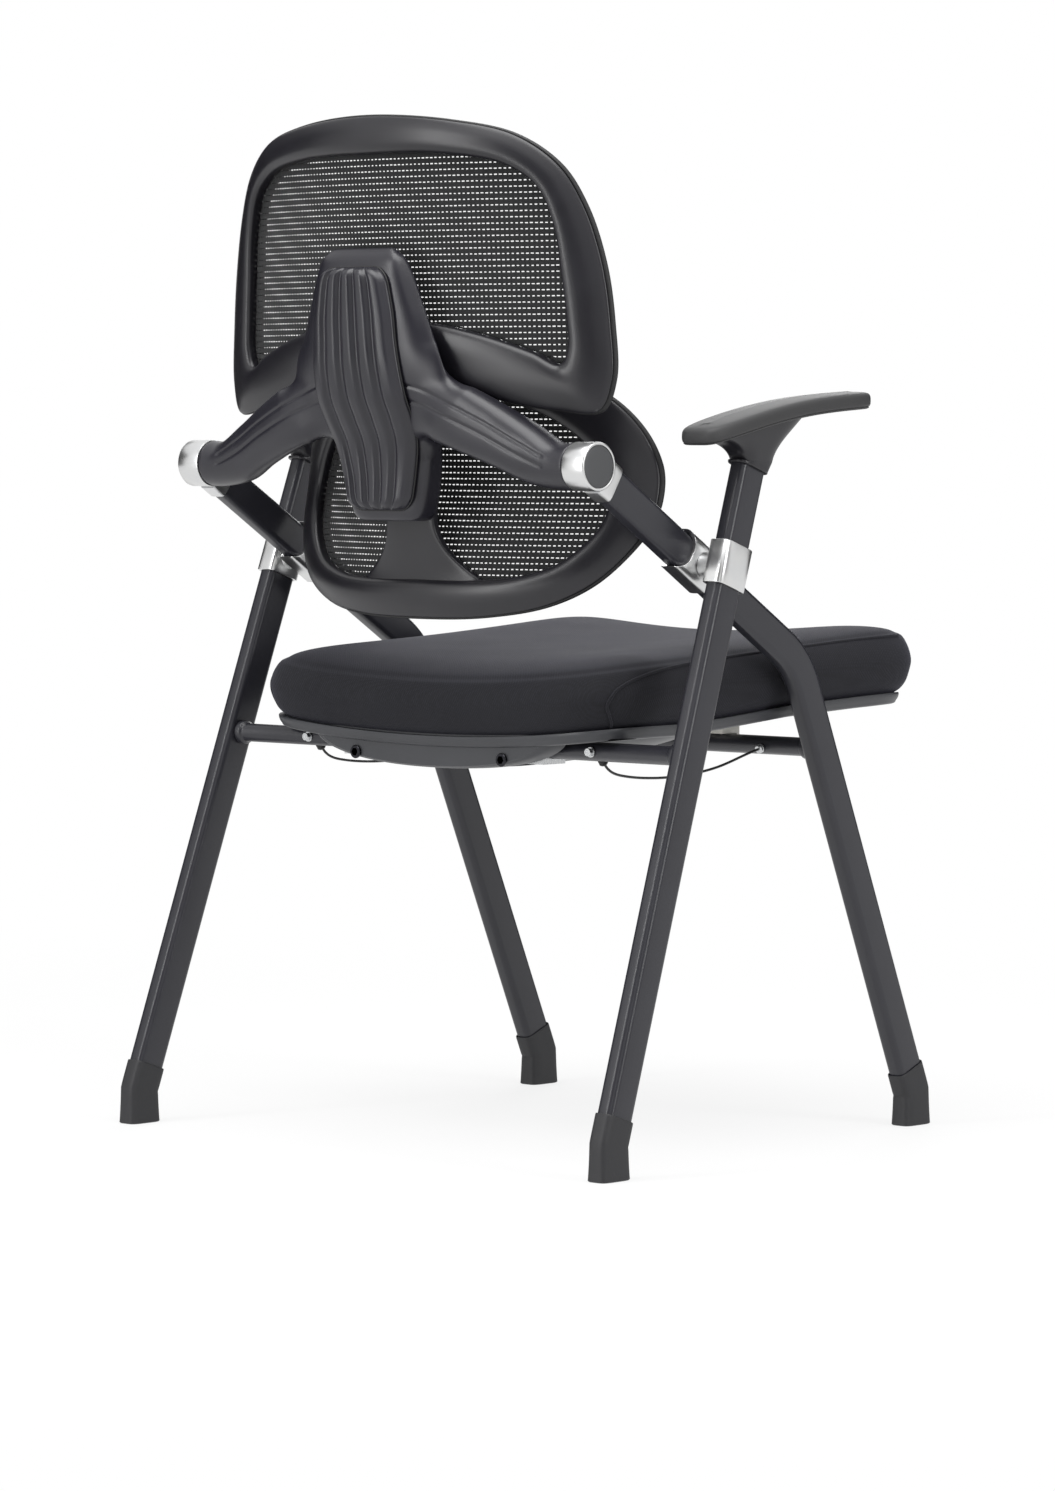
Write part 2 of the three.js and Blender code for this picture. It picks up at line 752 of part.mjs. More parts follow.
// The section's front and rear are flats, which lie at this share of its half depth.
const frameSides = 8;
const framePower = 2.8;
const flatShare = Math.cos(Math.PI / frameSides) ** (2 / framePower);

function frameRing(outer, inner, rearY) {
  const sections = outer.map((out, i) => {
    const middle = out.clone().lerp(inner[i], 0.5);
    const half = out.clone().sub(inner[i]).multiplyScalar(0.5);
    const depth = yAxis.clone().multiplyScalar(frameThick / 2 / flatShare);
    return ovalRing(middle, half, depth, framePower, frameSides)
      .map((point) => v(point.x, point.y + rearY(point.x, point.z) - frameThick / 2, point.z));
  });
  return loop(sections);
}

function grown(points, middleZ, amount) {
  const middle = v(0, 0, middleZ);
  return points.map((point) => point.clone().addScaledVector(point.clone().sub(middle).normalize(), amount));
}

const trimRearY = frameThick + meshGap + meshThick + trimGap;

function trimRing(outer, inner, rearY, middleZ) {
  const outside = grown(outer, middleZ, trimProud);
  const sections = outside.map((out, i) => {
    const corners = [[out, 0], [inner[i], 0], [inner[i], trimThick], [out, trimThick]];
    return corners.map(([p, deep]) => v(p.x, rearY(p.x, p.z) - trimRearY - deep, p.z));
  });
  return loop(sections);
}

const backMiddleZ = (backTopZ + backLowZ) / 2;
const lumbarMiddleZ = (lumbarTopZ + lumbarLowZ) / 2;

function lumbarPlate() {
  const ring = (z) => {
    const part = (z - plateLowZ) / (plateHighZ - plateLowZ);
    const half = share(plateLowHalf, plateHighHalf, part);
    const middle = v(0, columnFrontY - fitGap - plateThick / 2, z);
    return ovalRing(middle, v(half, 0, 0), v(0, plateThick / 2, 0), 6, softSides);
  };
  return loft([ring(plateLowZ), ring(plateHighZ)]);
}

const backRing = frameRing(backOuter, backInner, backRearY);
const lumbarRing = frameRing(lumbarOuter, lumbarInner, lumbarRearY);
add('upper_back_frame', backRing, materials.frame);
add('lower_back_frame', joined(lumbarRing, lumbarPlate()), materials.frame);
add('upper_front_trim', trimRing(backOuter, backInner, backRearY, backMiddleZ), materials.trim);
add('lower_front_trim', trimRing(lumbarOuter, lumbarInner, lumbarRearY, lumbarMiddleZ), materials.trim);

// Mesh: a sheet with rows of slots, cut to the window and tucked under the frame

function halfWidthAt(points, z) {
  let widest = 0;
  points.forEach((point, i) => {
    const next = points[(i + 1) % points.length];
    const part = (z - point.z) / (next.z - point.z);
    if (part >= 0 && part <= 1) {
      widest = Math.max(widest, Math.abs(share(point.x, next.x, part)));
    }
  });
  return widest;
}

function netPanel(inner, rearY, lowZ, topZ, rows) {
  const window = grown(inner, (lowZ + topZ) / 2, meshTuck);
  const columns = netSlots * 2 + 1;
  const slotShare = 0.82; // of each slot's pitch that is open
  const uAt = (column) => {
    const pitch = 2 / (netSlots + 0.5);
    const edge = -1 + pitch / 4;
    const pair = Math.floor((column - 1) / 2);
    if (column === 0) return -1;
    if (column === columns) return 1;
    return edge + pair * pitch + ((column - 1) % 2 ? pitch * slotShare : pitch * (1 - slotShare));
  };
  const lines = rows * 2 + 2;
  const zAt = (line) => share(lowZ, topZ, line / (lines - 1));
  const points = [];
  const id = (line, column, back) => (line * (columns + 1) + column) * 2 + back;
  for (let line = 0; line < lines; line += 1) {
    const half = halfWidthAt(window, zAt(line));
    for (let column = 0; column <= columns; column += 1) {
      const [x, z] = [uAt(column) * half, zAt(line)];
      const rear = rearY(x, z) - frameThick - meshGap;
      points.push(v(x, rear, z), v(x, rear - meshThick, z));
    }
  }
  const isOpen = (line, column) =>
    line >= 0 && line < lines - 1 && column >= 0 && column < columns && line % 2 === 1 && column % 2 === 1;
  const isSheet = (line, column) =>
    line >= 0 && line < lines - 1 && column >= 0 && column < columns && !isOpen(line, column);
  const faces = [];
  const quad = (a, b, c, d) => faces.push([a, b, c], [a, c, d]);
  for (let line = 0; line < lines - 1; line += 1) {
    for (let column = 0; column < columns; column += 1) {
      if (!isSheet(line, column)) continue;
      const corner = [[line, column], [line, column + 1], [line + 1, column + 1], [line + 1, column]];
      const face = (side) => corner.map(([l, c]) => id(l, c, side));
      quad(...face(0));
      quad(...face(1).reverse());
      const sides = [[line - 1, column], [line, column + 1], [line + 1, column], [line, column - 1]];
      sides.forEach(([l, c], i) => {
        if (isSheet(l, c)) return;
        const [from, to] = [corner[i], corner[(i + 1) % 4]];
        quad(id(...to, 0), id(...from, 0), id(...from, 1), id(...to, 1));
      });
    }
  }
  return fromFaces(points, faces);
}

// Heights of the lower and upper edge of each net
const backNetShares = [0.165, 0.872];
const lumbarNetShares = [0.135, 0.885];
const backNetZ = backNetShares.map((part) => share(backLowZ, backTopZ, part));
const lumbarNetZ = lumbarNetShares.map((part) => share(lumbarLowZ, lumbarTopZ, part));
add('upper_mesh', netPanel(backInner, backRearY, ...backNetZ, backNetRows), materials.mesh);
add('lower_mesh', netPanel(lumbarInner, lumbarRearY, ...lumbarNetZ, lumbarNetRows), materials.mesh);

// Yoke: a column behind the two frames and an arm to each hub

// Shares of height, front face, rear face and half width of the column, and its flare, low to high
const columnShares = [
  [0, 0.066, 0.46, 0.571, 0],
  [0.016, 0.015, 0.5, 0.683, 0],
  [0.0625, 0, 0.53, 0.762, 0],
  [0.172, 0, 0.54, 0.857, 0],
  [0.281, 0.095, 0.6, 0.952, 0],
  [0.375, 0.314, 0.76, 1, 0.05],
  [0.469, 0.562, 0.92, 0.952, 0.2],
  [0.57, 0.688, 0.985, 0.873, 0.42],
  [0.758, 0.702, 1, 0.762, 0.5],
  [0.922, 0.737, 0.985, 0.683, 0.45],
  [0.977, 0.781, 0.956, 0.619, 0.3],
  [1, 0.825, 0.912, 0.492, 0.15],
];
const columnStations = columnShares.map(([height, front, rear, half, flare]) => [
  share(columnLowZ, columnTopZ, height),
  share(columnFrontY, columnRearY, front),
  share(columnFrontY, columnRearY, rear),
  half * columnHalfWidth,
  flare,
]);
// Shares of reach, of offset and rise from the hub, of half depth and of half height, root to hub
const armShares = [
  [0.145, 0.7, 0.95, 0.545, 1],
  [0.3, 0.8, 0.92, 0.636, 1],
  [0.483, 0.9, 0.74, 0.68, 0.93],
  [0.725, 0.52, 0.44, 0.82, 0.85],
  [0.908, 0.129, 0.17, 0.955, 0.78],
];

// The column widens towards its front face, by its flare.
function columnRing([z, front, rear, half, flare]) {
  const ring = ovalRing(v(0, (front + rear) / 2, z), v(half, 0, 0), v(0, (rear - front) / 2, 0), 4, softSides);
  return ring.map((p) => v(p.x * (1 + (flare * (rear - p.y)) / (rear - front)), p.y, p.z));
}

function yokeArm() {
  const rings = armShares.map(([reach, offset, rise, depth, height]) => {
    const middle = v(reach * armCylinderX, share(hubY, armRootY, offset), share(hubZ, armRootZ, rise));
    return ovalRing(middle, v(0, depth * armRadius, 0), v(0, 0, height * armRootHalf), 2.4, softSides);
  });
  const roundRing = (x) =>
    ovalRing(v(x, hubY, hubZ), v(0, armRadius, 0), v(0, 0, armRadius), 2, softSides);
  return loft([...rings, roundRing(armCylinderX), roundRing(hubInnerX - runGap)]);
}

const bushBore = rod(bushOuter + fitGap, bushTo - bushLength - fitGap, hubInnerX + cutOver)
  .translate(0, hubY, hubZ);
const axleBore = rod(axleRadius + fitGap, axleInnerX - fitGap, hubInnerX + cutOver)
  .translate(0, hubY, hubZ);
const oneArm = cut(yokeArm(), bushBore, axleBore);

function columnAt(z) {
  const above = columnStations.findIndex((station) => station[0] >= z);
  const [low, high] = [columnStations[above - 1], columnStations[above]];
  return low.map((value, i) => share(value, high[i], (z - low[0]) / (high[0] - low[0])));
}

// The cover lies on the column. Grown by a gap, it cuts its own seat in the roots of the arms.
function yokeCover(grow) {
  const [low, top] = [coverLowZ - grow, coverTopZ + grow];
  const inside = columnStations.map((station) => station[0]).filter((z) => z > low && z < top);
  const stops = [low, low + coverThick / 3, ...inside, top - coverThick / 3, top].sort((a, b) => a - b);
  const across = 24;
  const rings = stops.map((z) => {
    const [, , columnRear, columnHalf] = columnAt(z);
    const half = columnHalf - coverMargin + grow;
    const rear = columnRear - grow;
    const toEnd = Math.min(z - low, top - z);
    const fade = Math.min(1, toEnd / coverThick + 0.25);
    const outside = Array.from({ length: across + 1 }, (_, i) => {
      const u = (i / across) * 2 - 1;
      const crown = (1 - Math.abs(u) ** 4) ** 0.5;
      const flute = fluteDepth * Math.cos(Math.PI * coverFlutes * (u + 1)) * Math.min(1, crown * 1.4);
      const height = (coverThick + 2 * grow) * (0.25 + 0.75 * crown) - flute;
      return v(u * half, rear + fitGap + height * fade, z);
    });
    return [...outside, v(half, rear + fitGap, z), v(-half, rear + fitGap, z)];
  });
  return loft(rings);
}

const column = loft(columnStations.map(columnRing));
const wholeYoke = joined(column, oneArm, mirrored(oneArm));
const railCutters = [[0, 0], [1, 0], [0, -1], [1, -1]].map(([back, up]) =>
  positionsOnly(backRing).translate(0, back * fitGap, up * fitGap),
);
add('back_yoke', cut(wholeYoke, yokeCover(fitGap), ...railCutters), materials.frame);
add('yoke_cover', yokeCover(0), materials.frame);

// Seat cushion

const seatPart = (y) => (seatRearY - y) / (seatRearY - seatFrontY);
const seatBase = (x, y) =>
  seatBaseZ + seatRise * seatPart(y) + seatSideLift * (x / seatHalfWidth) ** 2;
const wallHeight = (y) => share(cushionRear, cushionFront, seatPart(y));

function seatOutline(inset) {
  const middleY = (seatRearY + seatFrontY) / 2;
  const ring = ovalRing(
    v(0, middleY, 0),
    v(seatHalfWidth, 0, 0),
    v(0, (seatRearY - seatFrontY) / 2, 0),
    8,
    seatSides,
  );
  return ring.map((point) => {
    const toMiddle = v(0, middleY, 0).sub(point);
    return point.addScaledVector(toMiddle.clone().normalize(), Math.min(inset, toMiddle.length()));
  });
}

// Inset and height shares of the cushion's layers, from its foot to its crown
const cushionWallShares = [[1, 0], [0.3, 0.1], [0, 0.3], [0, 0.6], [0.2, 0.84], [0.8, 0.97]];
const cushionCrownShares = [[0.09, 0.3], [0.16, 0.6], [0.28, 0.87], [0.5, 1], [0.9, 1]];

function cushion() {
  const wall = cushionWallShares.map(([inset, height]) =>
    seatOutline(inset * cushionDrawIn).map((p) => v(p.x, p.y, seatBase(p.x, p.y) + height * wallHeight(p.y))),
  );
  const crown = cushionCrownShares.map(([inset, height]) =>
    seatOutline(inset * seatHalfWidth).map((p) =>
      v(p.x, p.y, seatBase(p.x, p.y) + wallHeight(p.y) + height * cushionCrown),
    ),
  );
  const underside = [0.75, 0.45].map((inset) =>
    seatOutline(inset * seatHalfWidth).map((p) => v(p.x, p.y, seatBase(p.x, p.y))),
  );
  return loft([...underside, ...wall, ...crown]);
}

add('seat_cushion', cushion(), materials.fabric);

// Seat pan: a rim under the cushion and a belly that hides the bars

// Shares of length, half width and underside of the belly, rear to front
const bellyShares = [
  [0, 0.88, 0.06],
  [0.019, 0.95, 0.01],
  [0.102, 1, 0],
  [0.268, 1, 0.043],
  [0.434, 1, 0.149],
  [0.572, 0.97, 0.362],
  [0.649, 0.93, 0.617],
  [0.715, 0.88, 0.809],
  [0.876, 0.81, 0.894],
  [1, 0.635, 1],
];

function seatPan() {
  const layer = (inset, drop) =>
    seatOutline(inset).map((p) => v(p.x, p.y, seatBase(p.x, p.y) - fitGap - drop));
  const rim = loft([
    layer(seatHalfWidth * 0.75, 0),
    layer(seatHalfWidth * 0.45, 0),
    layer(rimInset + rimThick / 10, 0),
    layer(rimInset, rimThick / 4),
    layer(rimInset + rimThick / 3, rimThick * 0.8),
    layer(rimInset + rimThick, rimThick),
    layer(seatHalfWidth * 0.45, rimThick),
    layer(seatHalfWidth * 0.75, rimThick),
  ]);
  const belly = loft(
    bellyShares.map(([length, half, low]) => {
      const y = share(bellyEndY, bellyFrontY, length);
      const top = seatBase(0, y) - rimThick / 4;
      const underside = share(bellyLowZ, bellyFrontZ, low);
      const ring = ovalRing(
        v(0, y, top),
        v(half * bellyHalfWidth, 0, 0),
        v(0, 0, top - underside),
        2.85,
        softSides * 2,
      );
      return ring.map((p) => v(p.x, p.y, Math.min(p.z, top)));
    }),
  );
  const channel = new THREE.BoxGeometry(seatHalfWidth * 2, channelHalf * 2, rearBarZ)
    .translate(0, rearBar.y, rearBar.z + barRadius + channelHead - rearBarZ / 2);
  const boltHole = (side) =>
    new THREE.CylinderGeometry(boltShank + fitGap, boltShank + fitGap, channelHalf, smallSides)
      .translate(side * boltX, bellyEndY, boltZ);
  const body = joined(rim, belly);
  return cut(body, channel, boltHole(1), boltHole(-1));
}

const pan = seatPan();
add('seat_pan', pan, materials.pan);

function hingeBracket() {
  const top = barRadius + channelHead - fitGap;
  const height = top + bracketDrop;
  const block = new THREE.BoxGeometry(bracketWidth, (channelHalf - fitGap) * 2, height)
    .translate(bracketX, rearBar.y, rearBar.z + top - height / 2);
  const bore = rod(barRadius + fitGap, bracketX - bracketWidth, bracketX + bracketWidth)
    .translate(0, rearBar.y, rearBar.z);
  return cut(block, bore);
}

addPair('seat_hinge_bracket', hingeBracket(), materials.steel);

function seatRest() {
  const barTop = frontBar.z + barRadius + fitGap;
  const blockTop = seatBase(restX, frontBar.y) - rimThick / 2;
  const height = blockTop - barTop;
  const block = new THREE.BoxGeometry(restWidth, restDepth, height)
    .translate(restX, frontBar.y, barTop + height / 2);
  const lipHeight = height + restLipDrop;
  const lip = new THREE.BoxGeometry(restWidth, restLip, lipHeight)
    .translate(restX, frontBar.y - barRadius - runGap * 2 - restLip / 2, blockTop - lipHeight / 2);
  const lowered = positionsOnly(pan).translate(0, 0, -fitGap);
  return cut(joined(block, lip), pan, lowered);
}

addPair('seat_rest', seatRest(), materials.bush);

const seatBolt = cut(
  turned([
    [0, -boltShankLength],
    [boltShank, -boltShankLength],
    [boltShank, fitGap],
    [boltHead, fitGap],
    [boltHead, boltHeadThick * 0.7],
    [boltHead * 0.85, boltHeadThick],
    [0, boltHeadThick],
  ], smallSides),
  rod(boltSocket, boltHeadThick - boltSocketDepth, boltHeadThick + cutOver, 6),
).rotateZ(Math.PI / 2).translate(boltX, bellyEndY, boltZ);
addPair('seat_bolt', seatBolt, materials.steel);

// Rope fittings and ropes

// A ferrule stands on a bar and points at the angle that the rope leaves by.
const ropeExit = (bar, angle, distance) =>
  v(ropeX, bar.y + Math.cos(angle) * distance, bar.z + Math.sin(angle) * distance);
const rearRopeAngle = THREE.MathUtils.degToRad(-128);
const frontRopeAngle = THREE.MathUtils.degToRad(-14.5);
const ferruleStart = barRadius + fitGap;
const ferruleEnd = ferruleStart + ferruleLength;

function ferrule(bar, angle) {
  const body = turned([
    [0, ferruleStart],
    [ferruleRadius, ferruleStart],
    [ferruleRadius, ferruleEnd - ferruleRadius / 3],
    [ferruleRadius * 0.7, ferruleEnd],
    [0, ferruleEnd],
  ], smallSides);
  return body.rotateZ(Math.PI / 2).rotateX(angle).translate(ropeX, bar.y, bar.z);
}

addPair('rope_ferrule_rear', ferrule(rearBar, rearRopeAngle), materials.trim);
addPair('rope_ferrule_front', ferrule(frontBar, frontRopeAngle), materials.steel);

const nutFace = barRadius + fitGap;
const nut = joined(
  turned([
    [0, barRadius - nutShankDepth],
    [nutShank, barRadius - nutShankDepth],
    [nutShank, nutFace],
    [washerRadius, nutFace],
    [washerRadius, nutFace + washerThick],
    [0, nutFace + washerThick],
  ], smallSides),
  rod(nutRadius, nutFace + washerThick / 2, nutFace + washerThick + nutThick, 6),
).rotateZ(Math.PI / 2).translate(ropeX, rearBar.y, rearBar.z);
addPair('rope_nut', nut, materials.steel);

// The rope hangs a little slack between its ferrules: places of the route in Y and Z
const ropeRoute = [
  [122.0, 365.2], [116.0, 361.2], [107.5, 358.2], [95.0, 355.9], [79.0, 354.0], [61.0, 352.8],
  [42.0, 352.3], [22.0, 352.8], [2.0, 354.1], [-18.0, 356.2], [-36.0, 359.1], [-53.0, 363.0],
  [-68.0, 367.0], [-80.0, 370.1],
];

function rope() {
  const start = ropeExit(rearBar, rearRopeAngle, ferruleEnd + fitGap);
  const end = ropeExit(frontBar, frontRopeAngle, ferruleEnd + fitGap);
  const between = ropeRoute.map(([y, z]) => v(ropeX, y, z));
  const curve = new THREE.CatmullRomCurve3([start, ...between, end], false, 'centripetal');
  const section = new THREE.Shape().absarc(0, 0, ropeRadius, 0, Math.PI * 2);
  return new THREE.ExtrudeGeometry(section, { extrudePath: curve, steps: ropeSteps, curveSegments: 4 });
}

addPair('safety_rope', rope(), materials.rope);

// The origin is on the floor under the middle of the chair.
const bounds = new THREE.Box3().setFromObject(chair);
chair.position.y = -(bounds.min.y + bounds.max.y) / 2;
chair.updateMatrixWorld(true);

export default chair;
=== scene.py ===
# %% [markdown]
# # Nesting chair, dressed for a picture
# The solids of this chair come from a CAD model. Here each visible piece gets a finer mesh and a
# finish that looks like its real material. Blender works in metres, but a chair is easier to read
# in millimetres, so every size below is in millimetres, and one function turns it into metres.

# %% Load the solids
import math

import bmesh
import bpy
import numpy as np
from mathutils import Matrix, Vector
from mathutils.bvhtree import BVHTree


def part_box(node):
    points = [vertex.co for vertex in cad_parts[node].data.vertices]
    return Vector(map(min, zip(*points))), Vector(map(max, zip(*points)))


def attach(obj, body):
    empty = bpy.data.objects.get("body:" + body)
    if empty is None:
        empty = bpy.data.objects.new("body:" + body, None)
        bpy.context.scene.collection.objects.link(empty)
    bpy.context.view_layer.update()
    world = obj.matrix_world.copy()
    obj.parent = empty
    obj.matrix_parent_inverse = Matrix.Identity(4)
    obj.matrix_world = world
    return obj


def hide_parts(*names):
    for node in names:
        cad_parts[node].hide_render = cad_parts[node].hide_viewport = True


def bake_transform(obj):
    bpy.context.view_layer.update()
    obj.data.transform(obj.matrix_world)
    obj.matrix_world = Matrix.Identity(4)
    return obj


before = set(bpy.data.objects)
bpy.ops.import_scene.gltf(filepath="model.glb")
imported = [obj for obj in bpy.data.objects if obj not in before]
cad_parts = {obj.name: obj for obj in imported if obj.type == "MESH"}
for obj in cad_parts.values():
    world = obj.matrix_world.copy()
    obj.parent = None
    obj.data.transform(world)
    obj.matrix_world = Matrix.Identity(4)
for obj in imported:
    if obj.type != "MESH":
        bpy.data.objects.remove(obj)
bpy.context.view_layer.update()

# %% [markdown]
# ## Places and the camera
# The model stands with its middle over the origin. The sizes are counted from the chair's own
# zero line, so the shift between the two is read off the rear cross bar, which sits in both.

# %% Millimetres to metres
MM = 0.001
REAR_BAR = (134.8, 381)  # Y and Z of the middle of the rear cross bar

bar_low, bar_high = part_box("rear_crossbar")
SHIFT_Y = (bar_low.y + bar_high.y) / 2 / MM - REAR_BAR[0]


def in_metres(point):
    return Vector((point[0] * MM, (point[1] + SHIFT_Y) * MM, point[2] * MM))


print("shift in Y, mm:", round(SHIFT_Y, 3))

# %% [markdown]
# The camera stands low behind the sitter's right shoulder and far off, with a long lens, so the
# chair shows little perspective. Its place, direction and lens were solved from corners of the
# chair that are easy to find in the picture.

# %% Camera
CAMERA_PLACE = (-3.788, 4.0676, 0.7)  # metres
CAMERA_AZIMUTH = 223.2607
CAMERA_ELEVATION = 3.3668
CAMERA_LENS = 137.485


def add_camera():
    turn, lift = math.radians(CAMERA_AZIMUTH), math.radians(CAMERA_ELEVATION)
    backwards = Vector((math.sin(turn) * math.cos(lift), -math.cos(turn) * math.cos(lift), math.sin(lift)))
    data = bpy.data.cameras.new("camera")
    data.lens = CAMERA_LENS
    camera = bpy.data.objects.new("camera", data)
    camera.location = CAMERA_PLACE
    camera.rotation_euler = backwards.to_track_quat("Z", "Y").to_euler()
    bpy.context.scene.collection.objects.link(camera)
    bpy.context.scene.camera = camera
    return camera


camera = add_camera()
print("camera:", camera.location[:], "lens", CAMERA_LENS)

# %% [markdown]
# ## Tools for making meshes
# Nearly every piece of a chair is a section carried along a line: a tube, a rail, a lathe-turned
# ring, a cushion. So a few helpers are enough: one makes a rounded section, one joins sections
# into a skin, one draws a smooth line through a few points, and one puts the mesh in the scene.


# %% Sections and skins
def mix(start, end, part):
    return start + (end - start) * part


def smoothstep(low, high, value):
    part = min(1.0, max(0.0, (value - low) / (high - low)))
    return part * part * (3 - 2 * part)


def soften(value, power):
    return math.copysign(abs(value) ** (2 / power), value)


def oval(middle, across, along, power, count):
    """A ring of points: power 2 is an ellipse, 4 and more a rounded box."""
    turns = [2 * math.pi * (i + 0.5) / count for i in range(count)]
    return [
        middle + across * soften(math.cos(turn), power) + along * soften(math.sin(turn), power)
        for turn in turns
    ]


def skin(rings, endless=False, capped=True):
    """Joins rings that have the same number of points, and closes the two ends."""
    count = len(rings[0])
    points = [point for ring in rings for point in ring]
    faces = []
    for r in range(len(rings) if endless else len(rings) - 1):
        here, there = r * count, (r + 1) % len(rings) * count
        for i in range(count):
            j = (i + 1) % count
            faces.append((here + i, here + j, there + j, there + i))
    if capped and not endless:
        last = (len(rings) - 1) * count
        faces.append(tuple(reversed(range(count))))
        faces.append(tuple(range(last, last + count)))
    return points, faces


def together(*shapes):
    points, faces = [], []
    for more_points, more_faces in shapes:
        start = len(points)
        points += more_points
        faces += [tuple(start + i for i in face) for face in more_faces]
    return points, faces


def mirrored(shape):
    points, faces = shape
    return [Vector((-p[0], p[1], p[2])) for p in points], [tuple(reversed(face)) for face in faces]


# %% [markdown]
# A smooth line through a few points is a Catmull-Rom curve. The centripetal kind is used, because
# it doesn't overshoot where points lie close together, so a few points give a clean outline.


# %% Smooth lines and tables
def smooth_line(rows, count, closed=False):
    """count points on a centripetal Catmull-Rom curve through rows of numbers."""
    rows = [np.array(row, dtype=float) for row in rows]
    spans = len(rows) if closed else len(rows) - 1
    line = []
    for i in range(count):
        place = i / count * spans if closed else i / (count - 1) * spans
        step = min(int(place), spans - 1)
        part = place - step
        p1, p2 = rows[step], rows[(step + 1) % len(rows)]
        p0 = rows[step - 1] if closed or step > 0 else 2 * p1 - p2
        p3 = rows[(step + 2) % len(rows)] if closed or step + 2 < len(rows) else 2 * p2 - p1
        d0, d1, d2 = (max(np.linalg.norm(b - a) ** 0.5, 1e-6) for a, b in ((p0, p1), (p1, p2), (p2, p3)))
        t1 = ((p1 - p0) / d0 - (p2 - p0) / (d0 + d1) + (p2 - p1) / d1) * d1
        t2 = ((p2 - p1) / d1 - (p3 - p1) / (d1 + d2) + (p3 - p2) / d2) * d1
        a, b = 2 * (p1 - p2) + t1 + t2, 3 * (p2 - p1) - 2 * t1 - t2
        line.append(((a * part + b) * part + t1) * part + p1)
    return line


def evenly(points, count):
    """The same closed line with count points at equal distances."""
    ring = np.array([list(p) for p in points] + [list(points[0])])
    reach = np.concatenate([[0], np.cumsum(np.linalg.norm(np.diff(ring, axis=0), axis=1))])
    wanted = np.linspace(0, reach[-1], count, endpoint=False)
    return [Vector([np.interp(w, reach, ring[:, axis]) for axis in range(3)]) for w in wanted]


# %% [markdown]
# Every mesh is put in the scene by the same few lines.


# %% Put a piece in the scene
def link_mesh(name, shape, sharp=40):
    points, faces = shape
    mesh = bpy.data.meshes.new(name)
    mesh.from_pydata([in_metres(point) for point in points], [], faces)
    shell = bmesh.new()
    shell.from_mesh(mesh)
    bmesh.ops.recalc_face_normals(shell, faces=shell.faces)
    shell.to_mesh(mesh)
    shell.free()
    mesh.shade_smooth()
    mesh.set_sharp_from_angle(angle=math.radians(sharp))
    piece = bpy.data.objects.new(name, mesh)
    bpy.context.scene.collection.objects.link(piece)
    return piece


def after_modifiers(piece, *helpers):
    """The points, in millimetres, and the faces of a piece with its modifiers applied."""
    bpy.context.view_layer.update()
    done = bpy.data.meshes.new_from_object(piece.evaluated_get(bpy.context.evaluated_depsgraph_get()))
    points = [Vector((p.co.x / MM, p.co.y / MM - SHIFT_Y, p.co.z / MM)) for p in done.vertices]
    faces = [tuple(face.vertices) for face in done.polygons]
    for extra in (piece, *helpers):
        bpy.data.objects.remove(extra)
    return points, faces


def dress(piece, body, material, nodes=()):
    piece.data.materials.clear()
    piece.data.materials.append(material)
    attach(piece, body)
    if nodes:
        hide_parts(*nodes)
    print(piece.name, len(piece.data.vertices), "points on", body)
    return piece


def add_piece(name, shape, body, material, nodes=(), sharp=40):
    return dress(link_mesh(name, shape, sharp), body, material, nodes)


def add_pair(name, shape, body, material, node=None, sharp=40):
    sides = (("left", shape), ("right", mirrored(shape)))
    return [
        add_piece(f"{name}_{side}", form, body, material, [f"{node}_{side}"] if node else [], sharp)
        for side, form in sides
    ]


# %% [markdown]
# ## Tools for making finishes
# A finish is a small tree of shader nodes. One function adds a node with its settings and links,
# and one turns the hex colour that a designer would write into the linear light Blender mixes.


# %% Colours and nodes
def colour(code):
    """An sRGB hex colour as linear light."""
    parts = [int(code[i : i + 2], 16) / 255 for i in (1, 3, 5)]
    linear = [c / 12.92 if c <= 0.04045 else ((c + 0.055) / 1.055) ** 2.4 for c in parts]
    return (*linear, 1.0)


def add_node(tree, kind, inputs=None, **settings):
    node = tree.nodes.new(kind)
    for name, value in settings.items():
        setattr(node, name, value)
    for name, value in (inputs or {}).items():
        if isinstance(value, bpy.types.NodeSocket):
            tree.links.new(value, node.inputs[name])
        else:
            node.inputs[name].default_value = value
    return node


def per_mm(size):
    """The texture scale at which one feature is size millimetres wide."""
    return 1 / (size * MM)


def noise(tree, place, size, detail, distortion=0.0):
    """Cloudy noise with features about size millimetres wide."""
    inputs = {"Vector": place, "Scale": per_mm(size), "Detail": detail, "Distortion": distortion}
    return add_node(tree, "ShaderNodeTexNoise", inputs).outputs["Fac"]


def cells(tree, place, size, feature):
    """Distance from the middles of cells about size millimetres wide."""
    inputs = {"Vector": place, "Scale": per_mm(size)}
    return add_node(tree, "ShaderNodeTexVoronoi", inputs, feature=feature).outputs["Distance"]


WAVE_TURNS = 20  # how often a wave texture turns over one unit at scale 1


def waves(tree, place, size, direction, more):
    """Bands that repeat every size millimetres."""
    inputs = {"Vector": place, "Scale": per_mm(size) * 2 * math.pi / WAVE_TURNS, **more}
    return add_node(tree, "ShaderNodeTexWave", inputs, bands_direction=direction).outputs["Fac"]


